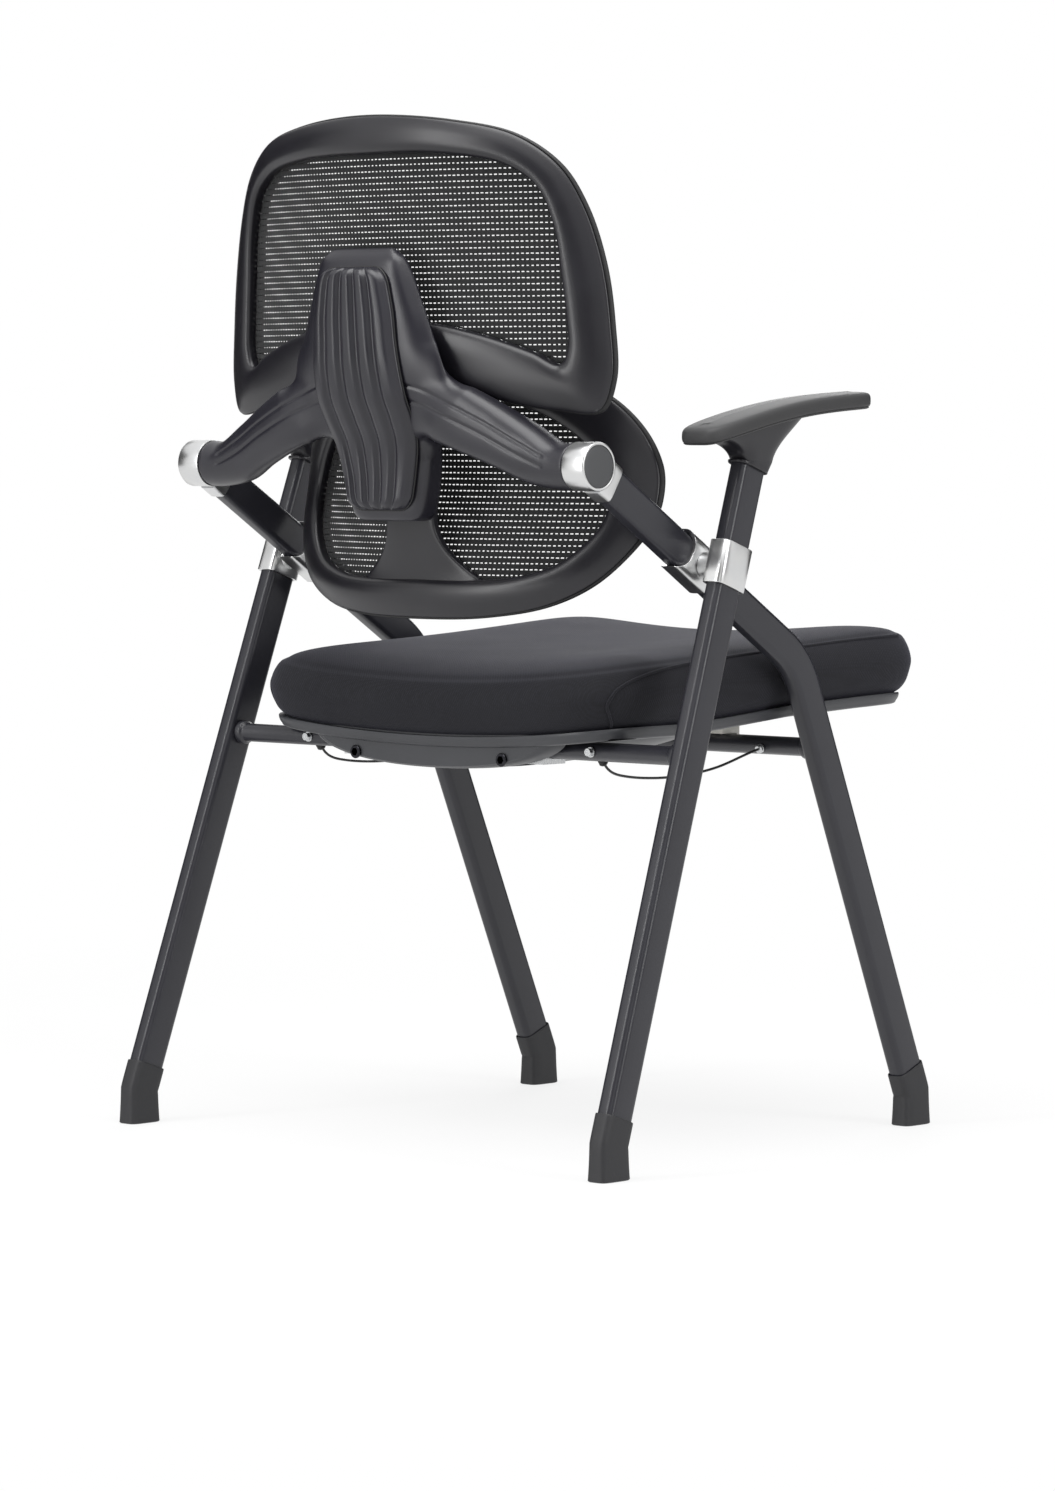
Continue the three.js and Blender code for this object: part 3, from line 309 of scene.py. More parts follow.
def new_finish(name, settings=None):
    """A material with one shader, and the place on the piece that its textures use."""
    material = bpy.data.materials.new(name)
    material.use_nodes = True
    tree = material.node_tree
    tree.nodes.clear()
    output = add_node(tree, "ShaderNodeOutputMaterial")
    shader = add_node(tree, "ShaderNodeBsdfPrincipled", settings)
    tree.links.new(shader.outputs["BSDF"], output.inputs["Surface"])
    place = add_node(tree, "ShaderNodeTexCoord").outputs["Object"]
    print("finish:", name)
    return material, tree, shader, place


def tint(tree, shader, factor, dark, light, span=(0.0, 1.0)):
    """Colours the shader from dark to light while the factor runs through the span."""
    ramp = add_node(tree, "ShaderNodeValToRGB", {"Fac": factor})
    for stop, code, position in zip(ramp.color_ramp.elements, (dark, light), span):
        stop.color = colour(code)
        stop.position = position
    tree.links.new(ramp.outputs["Color"], shader.inputs["Base Color"])


def roughen(tree, shader, factor, low, high):
    spread = add_node(tree, "ShaderNodeMapRange", {"Value": factor, "To Min": low, "To Max": high})
    tree.links.new(spread.outputs["Result"], shader.inputs["Roughness"])


def emboss(tree, shader, height, depth, strength):
    """Bumps depth millimetres high."""
    inputs = {"Height": height, "Distance": depth * MM, "Strength": strength}
    tree.links.new(add_node(tree, "ShaderNodeBump", inputs).outputs["Normal"], shader.inputs["Normal"])


# %% [markdown]
# ### Powder-coated steel
# The legs and bars are steel tube under baked polyester powder. The powder melts into a skin with
# a very fine orange peel, so highlights are soft at their edges. Peel cells are about 1 mm wide,
# and slow changes of thickness, some 40 mm wide, make the gloss drift along a tube.


# %% Powder-coated steel
def powder_coated_steel():
    material, tree, shader, place = new_finish("powder_coated_steel", {"IOR": 1.5})
    drift = noise(tree, place, 40, 2)
    tint(tree, shader, drift, "#212127", "#2a2a30")
    roughen(tree, shader, drift, 0.28, 0.36)
    emboss(tree, shader, noise(tree, place, 1.1, 3), 0.08, 0.25)
    return material


steel_finish = powder_coated_steel()

# %% [markdown]
# ### Polished chrome
# Clamps, sockets and hub rings are die-cast, polished and chromed. Chrome is a mirror with a
# slightly cool tint, and polishing belts leave hair lines about 0.3 mm apart round each piece.
# They are drawn 1 mm apart so that a picture of the whole chair still shows them as streaks.


# %% Polished chrome
def polished_chrome():
    material, tree, shader, place = new_finish("polished_chrome", {"Metallic": 1})
    stretch = add_node(tree, "ShaderNodeMapping", {"Vector": place, "Scale": (1, 0.06, 0.06)})
    lines = noise(tree, stretch.outputs["Vector"], 1, 4)
    tint(tree, shader, noise(tree, place, 18, 2), "#d2d3d5", "#dcdcda")
    roughen(tree, shader, lines, 0.26, 0.32)
    emboss(tree, shader, lines, 0.004, 0.2)
    return material


chrome_finish = polished_chrome()

# %% [markdown]
# ### Moulded nylon
# The back frames, the yoke and the arm brackets are glass-filled nylon from a mould whose wall
# was spark-eroded. It gives a satin black with a leather-fine grain. The grain is about 0.3 mm,
# drawn at 0.9 mm. A faint swirl some 70 mm wide is the mark of the melt that filled the mould.


# %% Moulded nylon
def moulded_nylon(name, dark, light):
    material, tree, shader, place = new_finish(name, {"IOR": 1.53})
    flow = noise(tree, place, 70, 3, distortion=1.2)
    tint(tree, shader, flow, dark, light)
    roughen(tree, shader, flow, 0.3, 0.38)
    emboss(tree, shader, noise(tree, place, 0.9, 2), 0.05, 0.3)
    return material


nylon_finish = moulded_nylon("moulded_nylon", "#141318", "#1b1a20")
yoke_finish = moulded_nylon("moulded_nylon_yoke", "#1a1920", "#222129")

# %% [markdown]
# ### Other plastics and rubber
# The seat pan is polypropylene, a little greyer and waxier. The arm pads are self-skinning
# polyurethane foam: soft, matt and with a fine pebble grain. The feet are moulded rubber, duller
# still. The front trims are soft black rubber, and the same black is painted shade on the cord in the
# gap round the cover. The caps on the hubs are ABS with a matt spark finish, and the bushes and seat
# rests are off-white acetal.


# %% Plastics and rubber
def moulded_plastic(name, dark, light, gloss, grain_size, grain_depth, ior):
    material, tree, shader, place = new_finish(name, {"IOR": ior})
    cloud = noise(tree, place, 55, 3)
    tint(tree, shader, cloud, dark, light)
    roughen(tree, shader, cloud, gloss - 0.04, gloss + 0.06)
    emboss(tree, shader, cells(tree, place, grain_size, "SMOOTH_F1"), grain_depth, 0.4)
    return material


pan_finish = moulded_plastic("moulded_polypropylene", "#2f3033", "#3a3b3f", 0.4, 1.2, 0.05, 1.49)
pad_finish = moulded_plastic("polyurethane_skin", "#2b2b2c", "#333334", 0.58, 1.1, 0.12, 1.5)
foot_finish = moulded_plastic("moulded_rubber", "#1c1c1f", "#252528", 0.55, 1.4, 0.06, 1.52)
# black rubber of the trims and the rear ferrules; on the cord round the yoke cover the same black is painted
# shade
black_rubber_and_gap_shade_finish = moulded_plastic("soft_black_rubber_and_gap_shade", "#0b0b0d", "#101012", 0.55, 1.0, 0.04, 1.52)
cap_finish = moulded_plastic("matt_abs", "#3c3d3f", "#454648", 0.5, 0.8, 0.03, 1.54)
bush_finish = moulded_plastic("acetal", "#c9c7bf", "#d9d7cf", 0.35, 1.5, 0.02, 1.48)

# %% [markdown]
# ### Woven polyester
# The seat cover is a dense black polyester weave. Its threads are about 0.5 mm apart, drawn at
# 1.8 mm. Two wave textures that cross at a slant stand for warp and weft, and their product lifts
# the crossings. The weft's bands are tilted too, so the pattern also runs over the upright sides.
# Fine fibre ends catch light at grazing angles, which the sheen gives, and slow clouds some 60 mm
# wide are the way the threads have been brushed by hand.

# %% Woven polyester
THREAD = 1.8
THREAD_TURNS = ((45, 0), (-45, 35))  # degrees about the upright and the tilt, for warp and weft


def woven_polyester():
    settings = {
        "Sheen Weight": 0.13, "Sheen Roughness": 0.45, "Sheen Tint": colour("#aaaac4"), "IOR": 1.45,
    }
    material, tree, shader, place = new_finish("woven_polyester", settings)
    threads = []
    for turn, tilt in THREAD_TURNS:
        rotation = (0, math.radians(tilt), math.radians(turn))
        turned_place = add_node(tree, "ShaderNodeMapping", {"Vector": place, "Rotation": rotation})
        wobble = {"Distortion": 0.6, "Detail Scale": 2}
        threads.append(waves(tree, turned_place.outputs["Vector"], THREAD, "X", wobble))
    inputs = dict(enumerate(threads))
    weave = add_node(tree, "ShaderNodeMath", inputs, operation="MULTIPLY").outputs["Value"]
    inputs = {0: weave, 1: 0.55, 2: noise(tree, place, 1.6, 2)}
    blend = add_node(tree, "ShaderNodeMath", inputs, operation="MULTIPLY_ADD")
    tint(tree, shader, blend.outputs["Value"], "#09090d", "#16161d", span=(0.3, 1.0))
    roughen(tree, shader, noise(tree, place, 60, 4), 0.82, 0.95)
    emboss(tree, shader, weave, 0.35, 0.4)
    return material


fabric_finish = woven_polyester()
print("threads, mm apart:", THREAD)

# %% [markdown]
# ### Knitted back mesh, coated rope and plated steel
# The mesh is knitted black polyester yarn. Its holes are real ones, cut in the geometry, so the
# material only has to show the yarn: fine ribs 1.1 mm apart with fibre sheen. The safety ropes
# are steel wire in black PVC, whose strands show as a faint twist. Nuts are steel with bright
# zinc, a metal with a blue-white tint and a soft, crystalline gloss. The seat screws are black oxide.


# %% Yarn, rope and plated steel
def knitted_yarn():
    settings = {"Sheen Weight": 0.1, "Sheen Roughness": 0.35}
    material, tree, shader, place = new_finish("knitted_polyester_mesh", settings)
    ribs = waves(tree, place, 1.1, "X", {"Distortion": 1.5, "Detail": 1})
    tint(tree, shader, ribs, "#08090a", "#1b1c1e", span=(0.35, 1.0))
    roughen(tree, shader, noise(tree, place, 0.8, 3), 0.7, 0.9)
    emboss(tree, shader, ribs, 0.3, 0.6)
    return material


def coated_rope():
    material, tree, shader, place = new_finish("pvc_coated_wire_rope")
    strands = waves(tree, place, 1.4, "DIAGONAL", {"Distortion": 0.3})
    tint(tree, shader, strands, "#0b0b0d", "#161618")
    roughen(tree, shader, strands, 0.32, 0.45)
    emboss(tree, shader, strands, 0.1, 0.5)
    return material


def plated_steel(name, dark, light):
    material, tree, shader, place = new_finish(name, {"Metallic": 1})
    crystals = cells(tree, place, 1.5, "F1")
    tint(tree, shader, crystals, dark, light)
    roughen(tree, shader, crystals, 0.22, 0.36)
    emboss(tree, shader, crystals, 0.03, 0.3)
    return material


yarn_finish = knitted_yarn()
rope_finish = coated_rope()
zinc_finish = plated_steel("zinc_plated_steel", "#b4b6ba", "#d6d7d6")
black_oxide_finish = plated_steel("black_oxide_steel", "#232326", "#3a3a3e")

# %% [markdown]
# ## The safety ropes
# A nesting chair folds about one pivot on each side. Two short wire ropes under the seat stop the
# legs from spreading too far. Each leaves a ferrule on the rear bar, hangs a little slack and ends
# in a ferrule on the front bar.

# %% Ropes and ferrules
FRONT_BAR = (-108.2, 377)
BAR_RADIUS = 9
FIT = 0.3
ROPE_X = 188
ROPE_RADIUS = 1.25
FERRULE_LENGTH = 6.2
FERRULE_RADIUS = 4.5
REAR_ROPE_ANGLE = math.radians(-128)
FRONT_ROPE_ANGLE = math.radians(-14.5)
ROPE_ROUTE = [
    (122.0, 365.2), (116.0, 361.2), (107.5, 358.2), (95.0, 355.9), (79.0, 354.0), (61.0, 352.8),
    (42.0, 352.3), (22.0, 352.8), (2.0, 354.1), (-18.0, 356.2), (-36.0, 359.1), (-53.0, 363.0),
    (-68.0, 367.0), (-80.0, 370.1),
]


def rope_exit(bar, angle, distance):
    return (ROPE_X, bar[0] + math.cos(angle) * distance, bar[1] + math.sin(angle) * distance)


def tube(line, radius, count=16):
    """A round tube along a line that nowhere runs straight to the side."""
    rings = []
    for i, point in enumerate(line):
        ahead = line[min(i + 1, len(line) - 1)] - line[max(i - 1, 0)]
        ahead.normalize()
        up = ahead.cross(Vector((1, 0, 0))).normalized()
        side = up.cross(ahead).normalized()
        rings.append(oval(point, side * radius, up * radius, 2, count))
    return skin(rings)


def add_rope(side, sign):
    reach = BAR_RADIUS + FERRULE_LENGTH + 2 * FIT
    ends = (rope_exit(REAR_BAR, REAR_ROPE_ANGLE, reach), rope_exit(FRONT_BAR, FRONT_ROPE_ANGLE, reach))
    stops = [ends[0], *[(ROPE_X, y, z) for y, z in ROPE_ROUTE], ends[1]]
    line = [Vector((sign * x, y, z)) for x, y, z in smooth_line(stops, 91)]
    rope = link_mesh(f"wire_rope_{side}", tube(line, ROPE_RADIUS))
    rope.data.materials.append(rope_finish)
    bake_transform(rope)
    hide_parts(f"safety_rope_{side}")


for side, sign in (("left", 1), ("right", -1)):
    add_rope(side, sign)

# %% [markdown]
# ## Legs
# The legs are one size of flat oval tube, deep fore and aft. The rear leg is straight. The front
# leg bends at the knee and runs up to the hub of the back. The section keeps the flats and the
# four round corners of a drawn tube, because the line where flat meets round is what the eye
# reads on a dark tube.

# %% Leg lines
TUBE_DEPTH = 34
TUBE_WIDTH = 19
TUBE_ROUND = 6.2
LEG_END_Z = 38
REAR_FLOOR = Vector((314.3, 267.3, 0))
REAR_TOP = Vector((292.3, 37.1, 662))
FRONT_FLOOR = Vector((250, -266.3, 0))
KNEE = Vector((255, -72, 462))
HUB = Vector((255, 220.6, 648.8))
PIVOT = Vector((255, 74.2, 555.33))
KNEE_RADIUS = 90
NECK_REACH = 33  # from the hub axis to the end of the tube
X_AXIS = Vector((1, 0, 0))
Y_AXIS = Vector((0, 1, 0))
Z_AXIS = Vector((0, 0, 1))
UPPER_WAY = (HUB - KNEE).normalized()
REAR_WAY = (REAR_TOP - REAR_FLOOR).normalized()


def rear_at(z):
    return REAR_FLOOR.lerp(REAR_TOP, z / REAR_TOP.z)


def front_at(z):
    return FRONT_FLOOR.lerp(KNEE, z / KNEE.z)


def tube_section(middle, deep, steps=7):
    """Rounded box: width along X, depth along the given direction."""
    a, b, r = TUBE_WIDTH / 2, TUBE_DEPTH / 2, TUBE_ROUND
    points = []
    for corner, (cx, cy) in enumerate(((a - r, b - r), (r - a, b - r), (r - a, r - b), (a - r, r - b))):
        for i in range(steps + 1):
            turn = math.pi / 2 * (corner + i / steps)
            points.append(middle + X_AXIS * (cx + r * math.cos(turn)) + deep * (cy + r * math.sin(turn)))
    return points


def square_to(way):
    """The direction of a leg tube's depth, for a tube that runs along way."""
    return way.cross(X_AXIS).normalized()


def round_tube(middle, deep, grow, power, count):
    """An oval ring that lies grow millimetres outside the leg tube."""
    return oval(middle, X_AXIS * (TUBE_WIDTH / 2 + grow), deep * (TUBE_DEPTH / 2 + grow), power, count)


def tube_along(line):
    rings = []
    for i, point in enumerate(line):
        way = (line[min(i + 1, len(line) - 1)] - line[max(i - 1, 0)]).normalized()
        rings.append(tube_section(point, square_to(way)))
    return skin(rings)


def knee_line():
    start, end = front_at(LEG_END_Z), HUB - UPPER_WAY * (NECK_REACH + FIT)
    lower, upper = (KNEE - start).normalized(), (end - KNEE).normalized()
    set_back = KNEE_RADIUS * math.tan(lower.angle(upper) / 2)
    first, last = KNEE - lower * set_back, KNEE + upper * set_back
    bend = [
        first * (1 - t) ** 2 + KNEE * 2 * t * (1 - t) + last * t**2 for t in (i / 24 for i in range(25))
    ]
    return [start, start.lerp(first, 0.5), *bend, last.lerp(end, 0.5), end]


rear_line = [rear_at(mix(LEG_END_Z, REAR_TOP.z, i / 8)) for i in range(9)]
add_pair("rear_leg_tube", tube_along(rear_line), "rear_frame", steel_finish, "rear_leg")
add_pair("front_leg_tube", tube_along(knee_line()), "front_frame", steel_finish, "front_leg")

# %% [markdown]
# ### Feet
# Each foot is a rubber cap pushed over the tube. It follows the slope of the leg, then bends
# upright and flares a little, so that it stands flat. A thin round lip runs along its top edge.
# It is a skin over a row of sections: outside from the floor up, over the lip, and back inside.

# %% Feet
FOOT_TOP_Z = 57
FOOT_KINK_Z = 33
FOOT_WALL = 1.6
FOOT_FLARE = 1.2
FOOT_POWER = 4.4
FOOT_SOLE = [(0, 3), (0.3, 1), (1.2, 0)]  # height above the floor, and how far it draws in
FOOT_LIP = [(0.4, 0.1), (0, 0.4), (0.3, 0.8), (2, 0.9), (4, 2.2)]  # depth below the top, draw-in
UPRIGHT_PARTS = (0.1, 0.25, 0.45, 0.65, 0.8)
SLOPING_PARTS = (0.0, 0.12, 0.25, 0.4, 0.6, 0.8, 0.93)


def foot_shape(line_at):
    kink, top = line_at(FOOT_KINK_Z), line_at(FOOT_TOP_Z)
    lean = (top - kink).normalized()
    deep = square_to(lean)
    floor = Vector((kink.x, kink.y, 0))
    stations = [(floor + Z_AXIS * height, Y_AXIS, FOOT_FLARE - drawn) for height, drawn in FOOT_SOLE]
    for part in UPRIGHT_PARTS:
        stations.append((floor.lerp(kink, part), Y_AXIS, FOOT_FLARE * (1 - part) ** 1.6))
    for part in SLOPING_PARTS:
        turn = smoothstep(-0.4, 0.4, part)
        stations.append((kink.lerp(top, part), Y_AXIS.lerp(deep, turn).normalized(), 0))
    stations += [(top - lean * below, deep, -drawn) for below, drawn in FOOT_LIP]
    return skin([
        round_tube(middle, way, FOOT_WALL + grow, FOOT_POWER, 64) for middle, way, grow in stations
    ])


add_pair("rear_foot_cap", foot_shape(rear_at), "rear_frame", foot_finish, "rear_foot")
add_pair("front_foot_cap", foot_shape(front_at), "front_frame", foot_finish, "front_foot")

# %% [markdown]
# ### Cross bars
# Two round bars join the left and right legs below the seat. At each end a fillet of weld and a
# short collar widen the bar against the leg. A turned profile makes both in one skin.

# %% Cross bars
COLLAR_RADIUS = 11.5
COLLAR_LENGTH = 6


def turned(profile, middle, way=X_AXIS, count=48):
    """A lathe-turned skin: profile holds (radius, distance along way)."""
    side = way.orthogonal().normalized()
    other = way.cross(side).normalized()
    return skin([
        oval(middle + way * along, side * radius, other * radius, 2, count) for radius, along in profile
    ])


def cross_bar(middle):
    half = middle.x - TUBE_WIDTH / 2 - 2 * FIT
    end = [
        (COLLAR_RADIUS - 0.8, half), (COLLAR_RADIUS, half - 0.8), (COLLAR_RADIUS, half - COLLAR_LENGTH),
        (COLLAR_RADIUS - 0.5, half - COLLAR_LENGTH - 0.8), (BAR_RADIUS + 0.7, half - COLLAR_LENGTH - 1.8),
        (BAR_RADIUS, half - COLLAR_LENGTH - 3.6),
    ]
    profile = [(radius, -along) for radius, along in end] + list(reversed(end))
    return turned(profile, Vector((0, middle.y, middle.z)))


rear_bar, front_bar = rear_at(REAR_BAR[1]), front_at(FRONT_BAR[1])
add_piece("rear_cross_tube", cross_bar(rear_bar), "rear_frame", steel_finish, ["rear_crossbar"])
add_piece("front_cross_tube", cross_bar(front_bar), "front_frame", steel_finish, ["front_crossbar"])

# %% [markdown]
# ### Fold pivot
# Where the two leg lines cross, a chrome sleeve clamps the rear leg and a chrome socket grips the
# front tube, and a pin joins them. A sleeve is a thin-walled ring with rounded rims. The socket's
# mouth is cut to a curve, which is made by pushing the points of its upper rim along the tube.

# %% Clamp and socket
CLAMP_WALL = 3
CLAMP_HEIGHT = 42
BOSS_RADIUS = 13
SOCKET_WALL = 3.5
SOCKET_AHEAD = 34
SOCKET_BEHIND = 17
MOUTH_RADIUS = 22
SLEEVE_POWER = 5
RUN = 0.5  # gap between pieces that turn on each other


def sleeve(place_at, deep, wall, low, high, cut=None):
    """A sleeve round the leg tube. cut moves a rim point by its depth on the tube."""
    edge = 0.8
    profile = [
        (low, 0.15), (low, wall - edge), (low + edge * 0.3, wall - edge * 0.3), (low + edge, wall),
        (mix(low, high, 0.5), wall), (high - edge, wall), (high - edge * 0.3, wall - edge * 0.3),
        (high, wall - edge), (high, 0.15),
    ]
    rings = []
    for along, grow in profile:
        ring = round_tube(Vector(), deep, grow, SLEEVE_POWER, 96)
        shift = [cut(point.dot(deep)) if cut else 0 for point in ring]
        part = (along - low) / (high - low)
        rings.append([point + place_at(along + part * moved) for point, moved in zip(ring, shift)])
    return skin(rings, endless=True)


def leg_clamp():
    middle = rear_at(PIVOT.z)
    half = CLAMP_HEIGHT / 2
    band = sleeve(lambda along: middle + REAR_WAY * along, square_to(REAR_WAY), CLAMP_WALL, -half, half)
    socket_face = PIVOT.x + TUBE_WIDTH / 2 + SOCKET_WALL + RUN
    boss_end = middle.x - TUBE_WIDTH / 2 - RUN
    boss = turned(
        [
            (BOSS_RADIUS - 1, socket_face), (BOSS_RADIUS, socket_face + 1),
            (BOSS_RADIUS, boss_end - 3), (BOSS_RADIUS + 1.2, boss_end - 1), (BOSS_RADIUS + 3, boss_end),
        ],
        Vector((0, PIVOT.y, PIVOT.z)),
    )
    return together(band, boss)


def pivot_socket():
    mouth_middle = SOCKET_AHEAD + MOUTH_RADIUS / 3

    def mouth(depth):
        cut_back = mouth_middle - math.sqrt(max(0.0, MOUTH_RADIUS**2 - depth**2))
        return min(SOCKET_AHEAD, cut_back) - SOCKET_AHEAD

    return sleeve(
        lambda along: PIVOT + UPPER_WAY * along, square_to(UPPER_WAY), SOCKET_WALL, -SOCKET_BEHIND,
        SOCKET_AHEAD, mouth,
    )


add_pair("leg_clamp_sleeve", leg_clamp(), "rear_frame", chrome_finish, "leg_clamp")
add_pair("pivot_socket_sleeve", pivot_socket(), "front_frame", chrome_finish, "pivot_socket")

# %% [markdown]
# ### Hubs
# At the top of each front tube a chrome ring holds the yoke of the back. A short neck grips the
# tube, and a dark cap closes the ring. The ring is turned, with a bevelled lip round the cap that
# throws a bright line. The neck is a loft from the ring to the tube.

# %% Hub ring, neck and cap
HUB_RADIUS = 22.6
HUB_INNER_X = 241.5
HUB_OUTER_X = 268.7
CAP_RADIUS = 19.6
CAP_THICK = 2.6
NECK_WALL = 1.5
NECK_POWER = 6


def hub_ring():
    seat = HUB_OUTER_X - CAP_THICK - FIT
    outside = [
        (CAP_RADIUS - 8, HUB_INNER_X), (HUB_RADIUS - 1, HUB_INNER_X),
        (HUB_RADIUS - 0.3, HUB_INNER_X + 0.3), (HUB_RADIUS, HUB_INNER_X + 1),
    ]
    lip = [
        (HUB_RADIUS, HUB_OUTER_X - 1.2), (HUB_RADIUS - 0.4, HUB_OUTER_X - 0.4),
        (HUB_RADIUS - 1.2, HUB_OUTER_X), (CAP_RADIUS + 0.9, HUB_OUTER_X),
        (CAP_RADIUS + 0.35, HUB_OUTER_X - 0.5), (CAP_RADIUS + 0.3, seat), (CAP_RADIUS - 8, seat),
    ]
    ring = turned([*outside, *lip], Vector((0, HUB.y, HUB.z)), count=96)
    neck = [
        (HUB_RADIUS - 6, NECK_WALL), (NECK_REACH - 1.2, NECK_WALL), (NECK_REACH - 0.3, NECK_WALL - 0.3),
        (NECK_REACH, NECK_WALL - 1.1), (NECK_REACH - 3, -0.5),
    ]
    deep = square_to(UPPER_WAY)
    rings = [round_tube(HUB - UPPER_WAY * along, deep, grow, NECK_POWER, 72) for along, grow in neck]
    return together(ring, skin(rings))


def hub_cap():
    outer = HUB_OUTER_X
    return turned(
        [
            (0.5, outer - CAP_THICK), (CAP_RADIUS, outer - CAP_THICK), (CAP_RADIUS, outer - 1.1),
            (CAP_RADIUS - 0.4, outer - 0.7), (CAP_RADIUS * 0.9, outer - 0.3), (CAP_RADIUS * 0.6, outer - 0.1),
            (0.5, outer),
        ],
        Vector((0, HUB.y, HUB.z)),
        count=96,
    )


add_pair("hub_ring_body", hub_ring(), "front_frame", chrome_finish, "hub_ring")
add_pair("hub_cap_disc", hub_cap(), "front_frame", cap_finish, "hub_cap")

# %% [markdown]
# ## Arm rests
# The pad is foam moulded over a plate: a long plank with soft edges and a low hump where the
# forearm lies. A row of sections from the underside over the edge to the middle of the top gives
# it, and a fine groove near the bottom marks where the foam meets the plate.

# %% Arm pads
PAD_MIDDLE_X = 293.9
PAD_WIDTHS = (57, 53)  # rear and front
PAD_ENDS_Y = (118, -117)
PAD_TOPS_Z = (683, 718)
PAD_THICK = 16
PAD_HUMP = 7.5
PAD_POWER = 5
PAD_STEPS = 160
PAD_CLOSING = (0.3, 0.6, 0.85, 0.98)  # how the middle of the top is drawn together
PAD_CROWN = 0.6
PAD_SECTIONS = [  # inset from the pad's outline and depth below its top
    (20, 16), (8, 16), (3.6, 16), (2.3, 15.6), (1.5, 14.9), (1.3, 14.3), (1.8, 14), (1.8, 13.6),
    (0.8, 13.2), (0.2, 11.5), (0, 9), (0.05, 6.5), (0.3, 4.4), (0.9, 2.8), (2, 1.5), (3.6, 0.6),
    (6, 0.1), (10, -0.3), (16, -0.7),
]


def pad_top(y):
    part = (PAD_ENDS_Y[0] - y) / (PAD_ENDS_Y[0] - PAD_ENDS_Y[1])
    return mix(*PAD_TOPS_Z, part) + PAD_HUMP * math.sin(math.pi * part)


def pad_ring(inset, drop, squeeze=0.0):
    """A ring of the pad. squeeze draws it together into a line along the middle."""
    length = PAD_ENDS_Y[0] - PAD_ENDS_Y[1]
    points = []
    for i in range(3 * PAD_STEPS):
        turn = 2 * math.pi * (i + 0.5) / (3 * PAD_STEPS)
        y = sum(PAD_ENDS_Y) / 2 + (length / 2 - inset) * soften(math.sin(turn), PAD_POWER)
        width = mix(*PAD_WIDTHS, (PAD_ENDS_Y[0] - y) / length)
        x = PAD_MIDDLE_X + (width / 2 - inset) * soften(math.cos(turn), PAD_POWER) * (1 - squeeze)
        points.append(Vector((x, y, 0)))
    return [Vector((p.x, p.y, pad_top(p.y) - drop)) for p in evenly(points, PAD_STEPS)]


def arm_pad():
    rings = [pad_ring(inset, drop) for inset, drop in PAD_SECTIONS]
    inset, drop = PAD_SECTIONS[-1]
    rings += [pad_ring(inset, drop - PAD_CROWN * squeeze, squeeze) for squeeze in PAD_CLOSING]
    return skin(rings)


add_pair("arm_pad_foam", arm_pad(), "rear_frame", pad_finish, "arm_pad", sharp=60)

# %% [markdown]
# ### Arm brackets
# The bracket is the nylon foot of the arm rest. It fits over the top of the rear leg like a shoe
# and flares out under the pad, far to the front and a little to the rear. Sections that grow
# along a curve give the flare, and a small round rim finishes the shoe.

# %% Arm brackets
BRACKET_WALL = 3.5
BRACKET_FOOT_Z = 646
BRACKET_TOP = (40, 134)  # width and length
BRACKET_POWER = 3.5
BRACKET_RIM = [(0, -2.6), (0, -0.9), (0.3, -0.3), (1, 0), (2.5, 0)]  # height and growth
BRACKET_LEVELS = [  # share of the flare, and depth below the pad
    (0.1, 33), (0.3, 27), (0.5, 20.5), (0.68, 14), (0.82, 8.5), (0.92, 4), (1, 0),
]


def arm_bracket():
    deep = square_to(REAR_WAY)
    foot = rear_at(BRACKET_FOOT_Z)
    half_width, half_depth = TUBE_WIDTH / 2 + BRACKET_WALL, TUBE_DEPTH / 2 + BRACKET_WALL

    def under(y):
        return pad_top(y) - PAD_THICK - FIT

    flare_y = REAR_TOP.y - BRACKET_WALL / 2
    ends = [flare_y + BRACKET_TOP[1] / 2, flare_y - BRACKET_TOP[1] / 2]
    slope = Vector((0, ends[0] - ends[1], under(ends[0]) - under(ends[1]))).normalized()
    rings = [
        round_tube(foot + REAR_WAY * along, deep, BRACKET_WALL + grow, BRACKET_POWER, 96)
        for along, grow in BRACKET_RIM
    ]
    for part, drop in smooth_line(BRACKET_LEVELS, 26):
        y = mix(REAR_TOP.y, flare_y, part)
        middle = Vector((REAR_TOP.x, y, under(y) - drop))
        tilt = deep.lerp(slope, 0.5 + part / 2).normalized()
        width = mix(half_width, BRACKET_TOP[0] / 2, part)
        length = mix(half_depth, BRACKET_TOP[1] / 2, part**2.6)
        ring = oval(middle, X_AXIS * width, tilt * length, BRACKET_POWER, 96)
        rings.append([Vector((p.x, p.y, min(p.z, under(p.y)))) for p in ring])
    return skin(rings)


add_pair("arm_bracket_shoe", arm_bracket(), "rear_frame", nylon_finish, "arm_bracket", sharp=60)

# %% [markdown]
# ## Back frames
# The back has two moulded rings that overlap: a tall one behind the shoulders and a lower one at
# the lumbar. Seen from behind each is a soft-cornered loop, wide at its sides and arched where it
# passes the yoke. An inner and an outer outline, given as shares of the half width and height,
# carry a section all the way round. It is thick at the inner edge and thin at the outer one,
# towards which its rear face falls forward. A formula bows the loop round the sitter.

# %% Outlines of the two frames
BACK_HALF_WIDTH = 250
BACK_Z = (695, 975)
BACK_SIDE_Y = 192
BACK_MIDDLE_Y = (243, 262)  # low and high
LUMBAR_HALF_WIDTH = 238
LUMBAR_Z = (504, 745)
LUMBAR_MIDDLE_Y = (195, 173)  # low and high
LUMBAR_BOW = 71
FRAME_THICK = 22

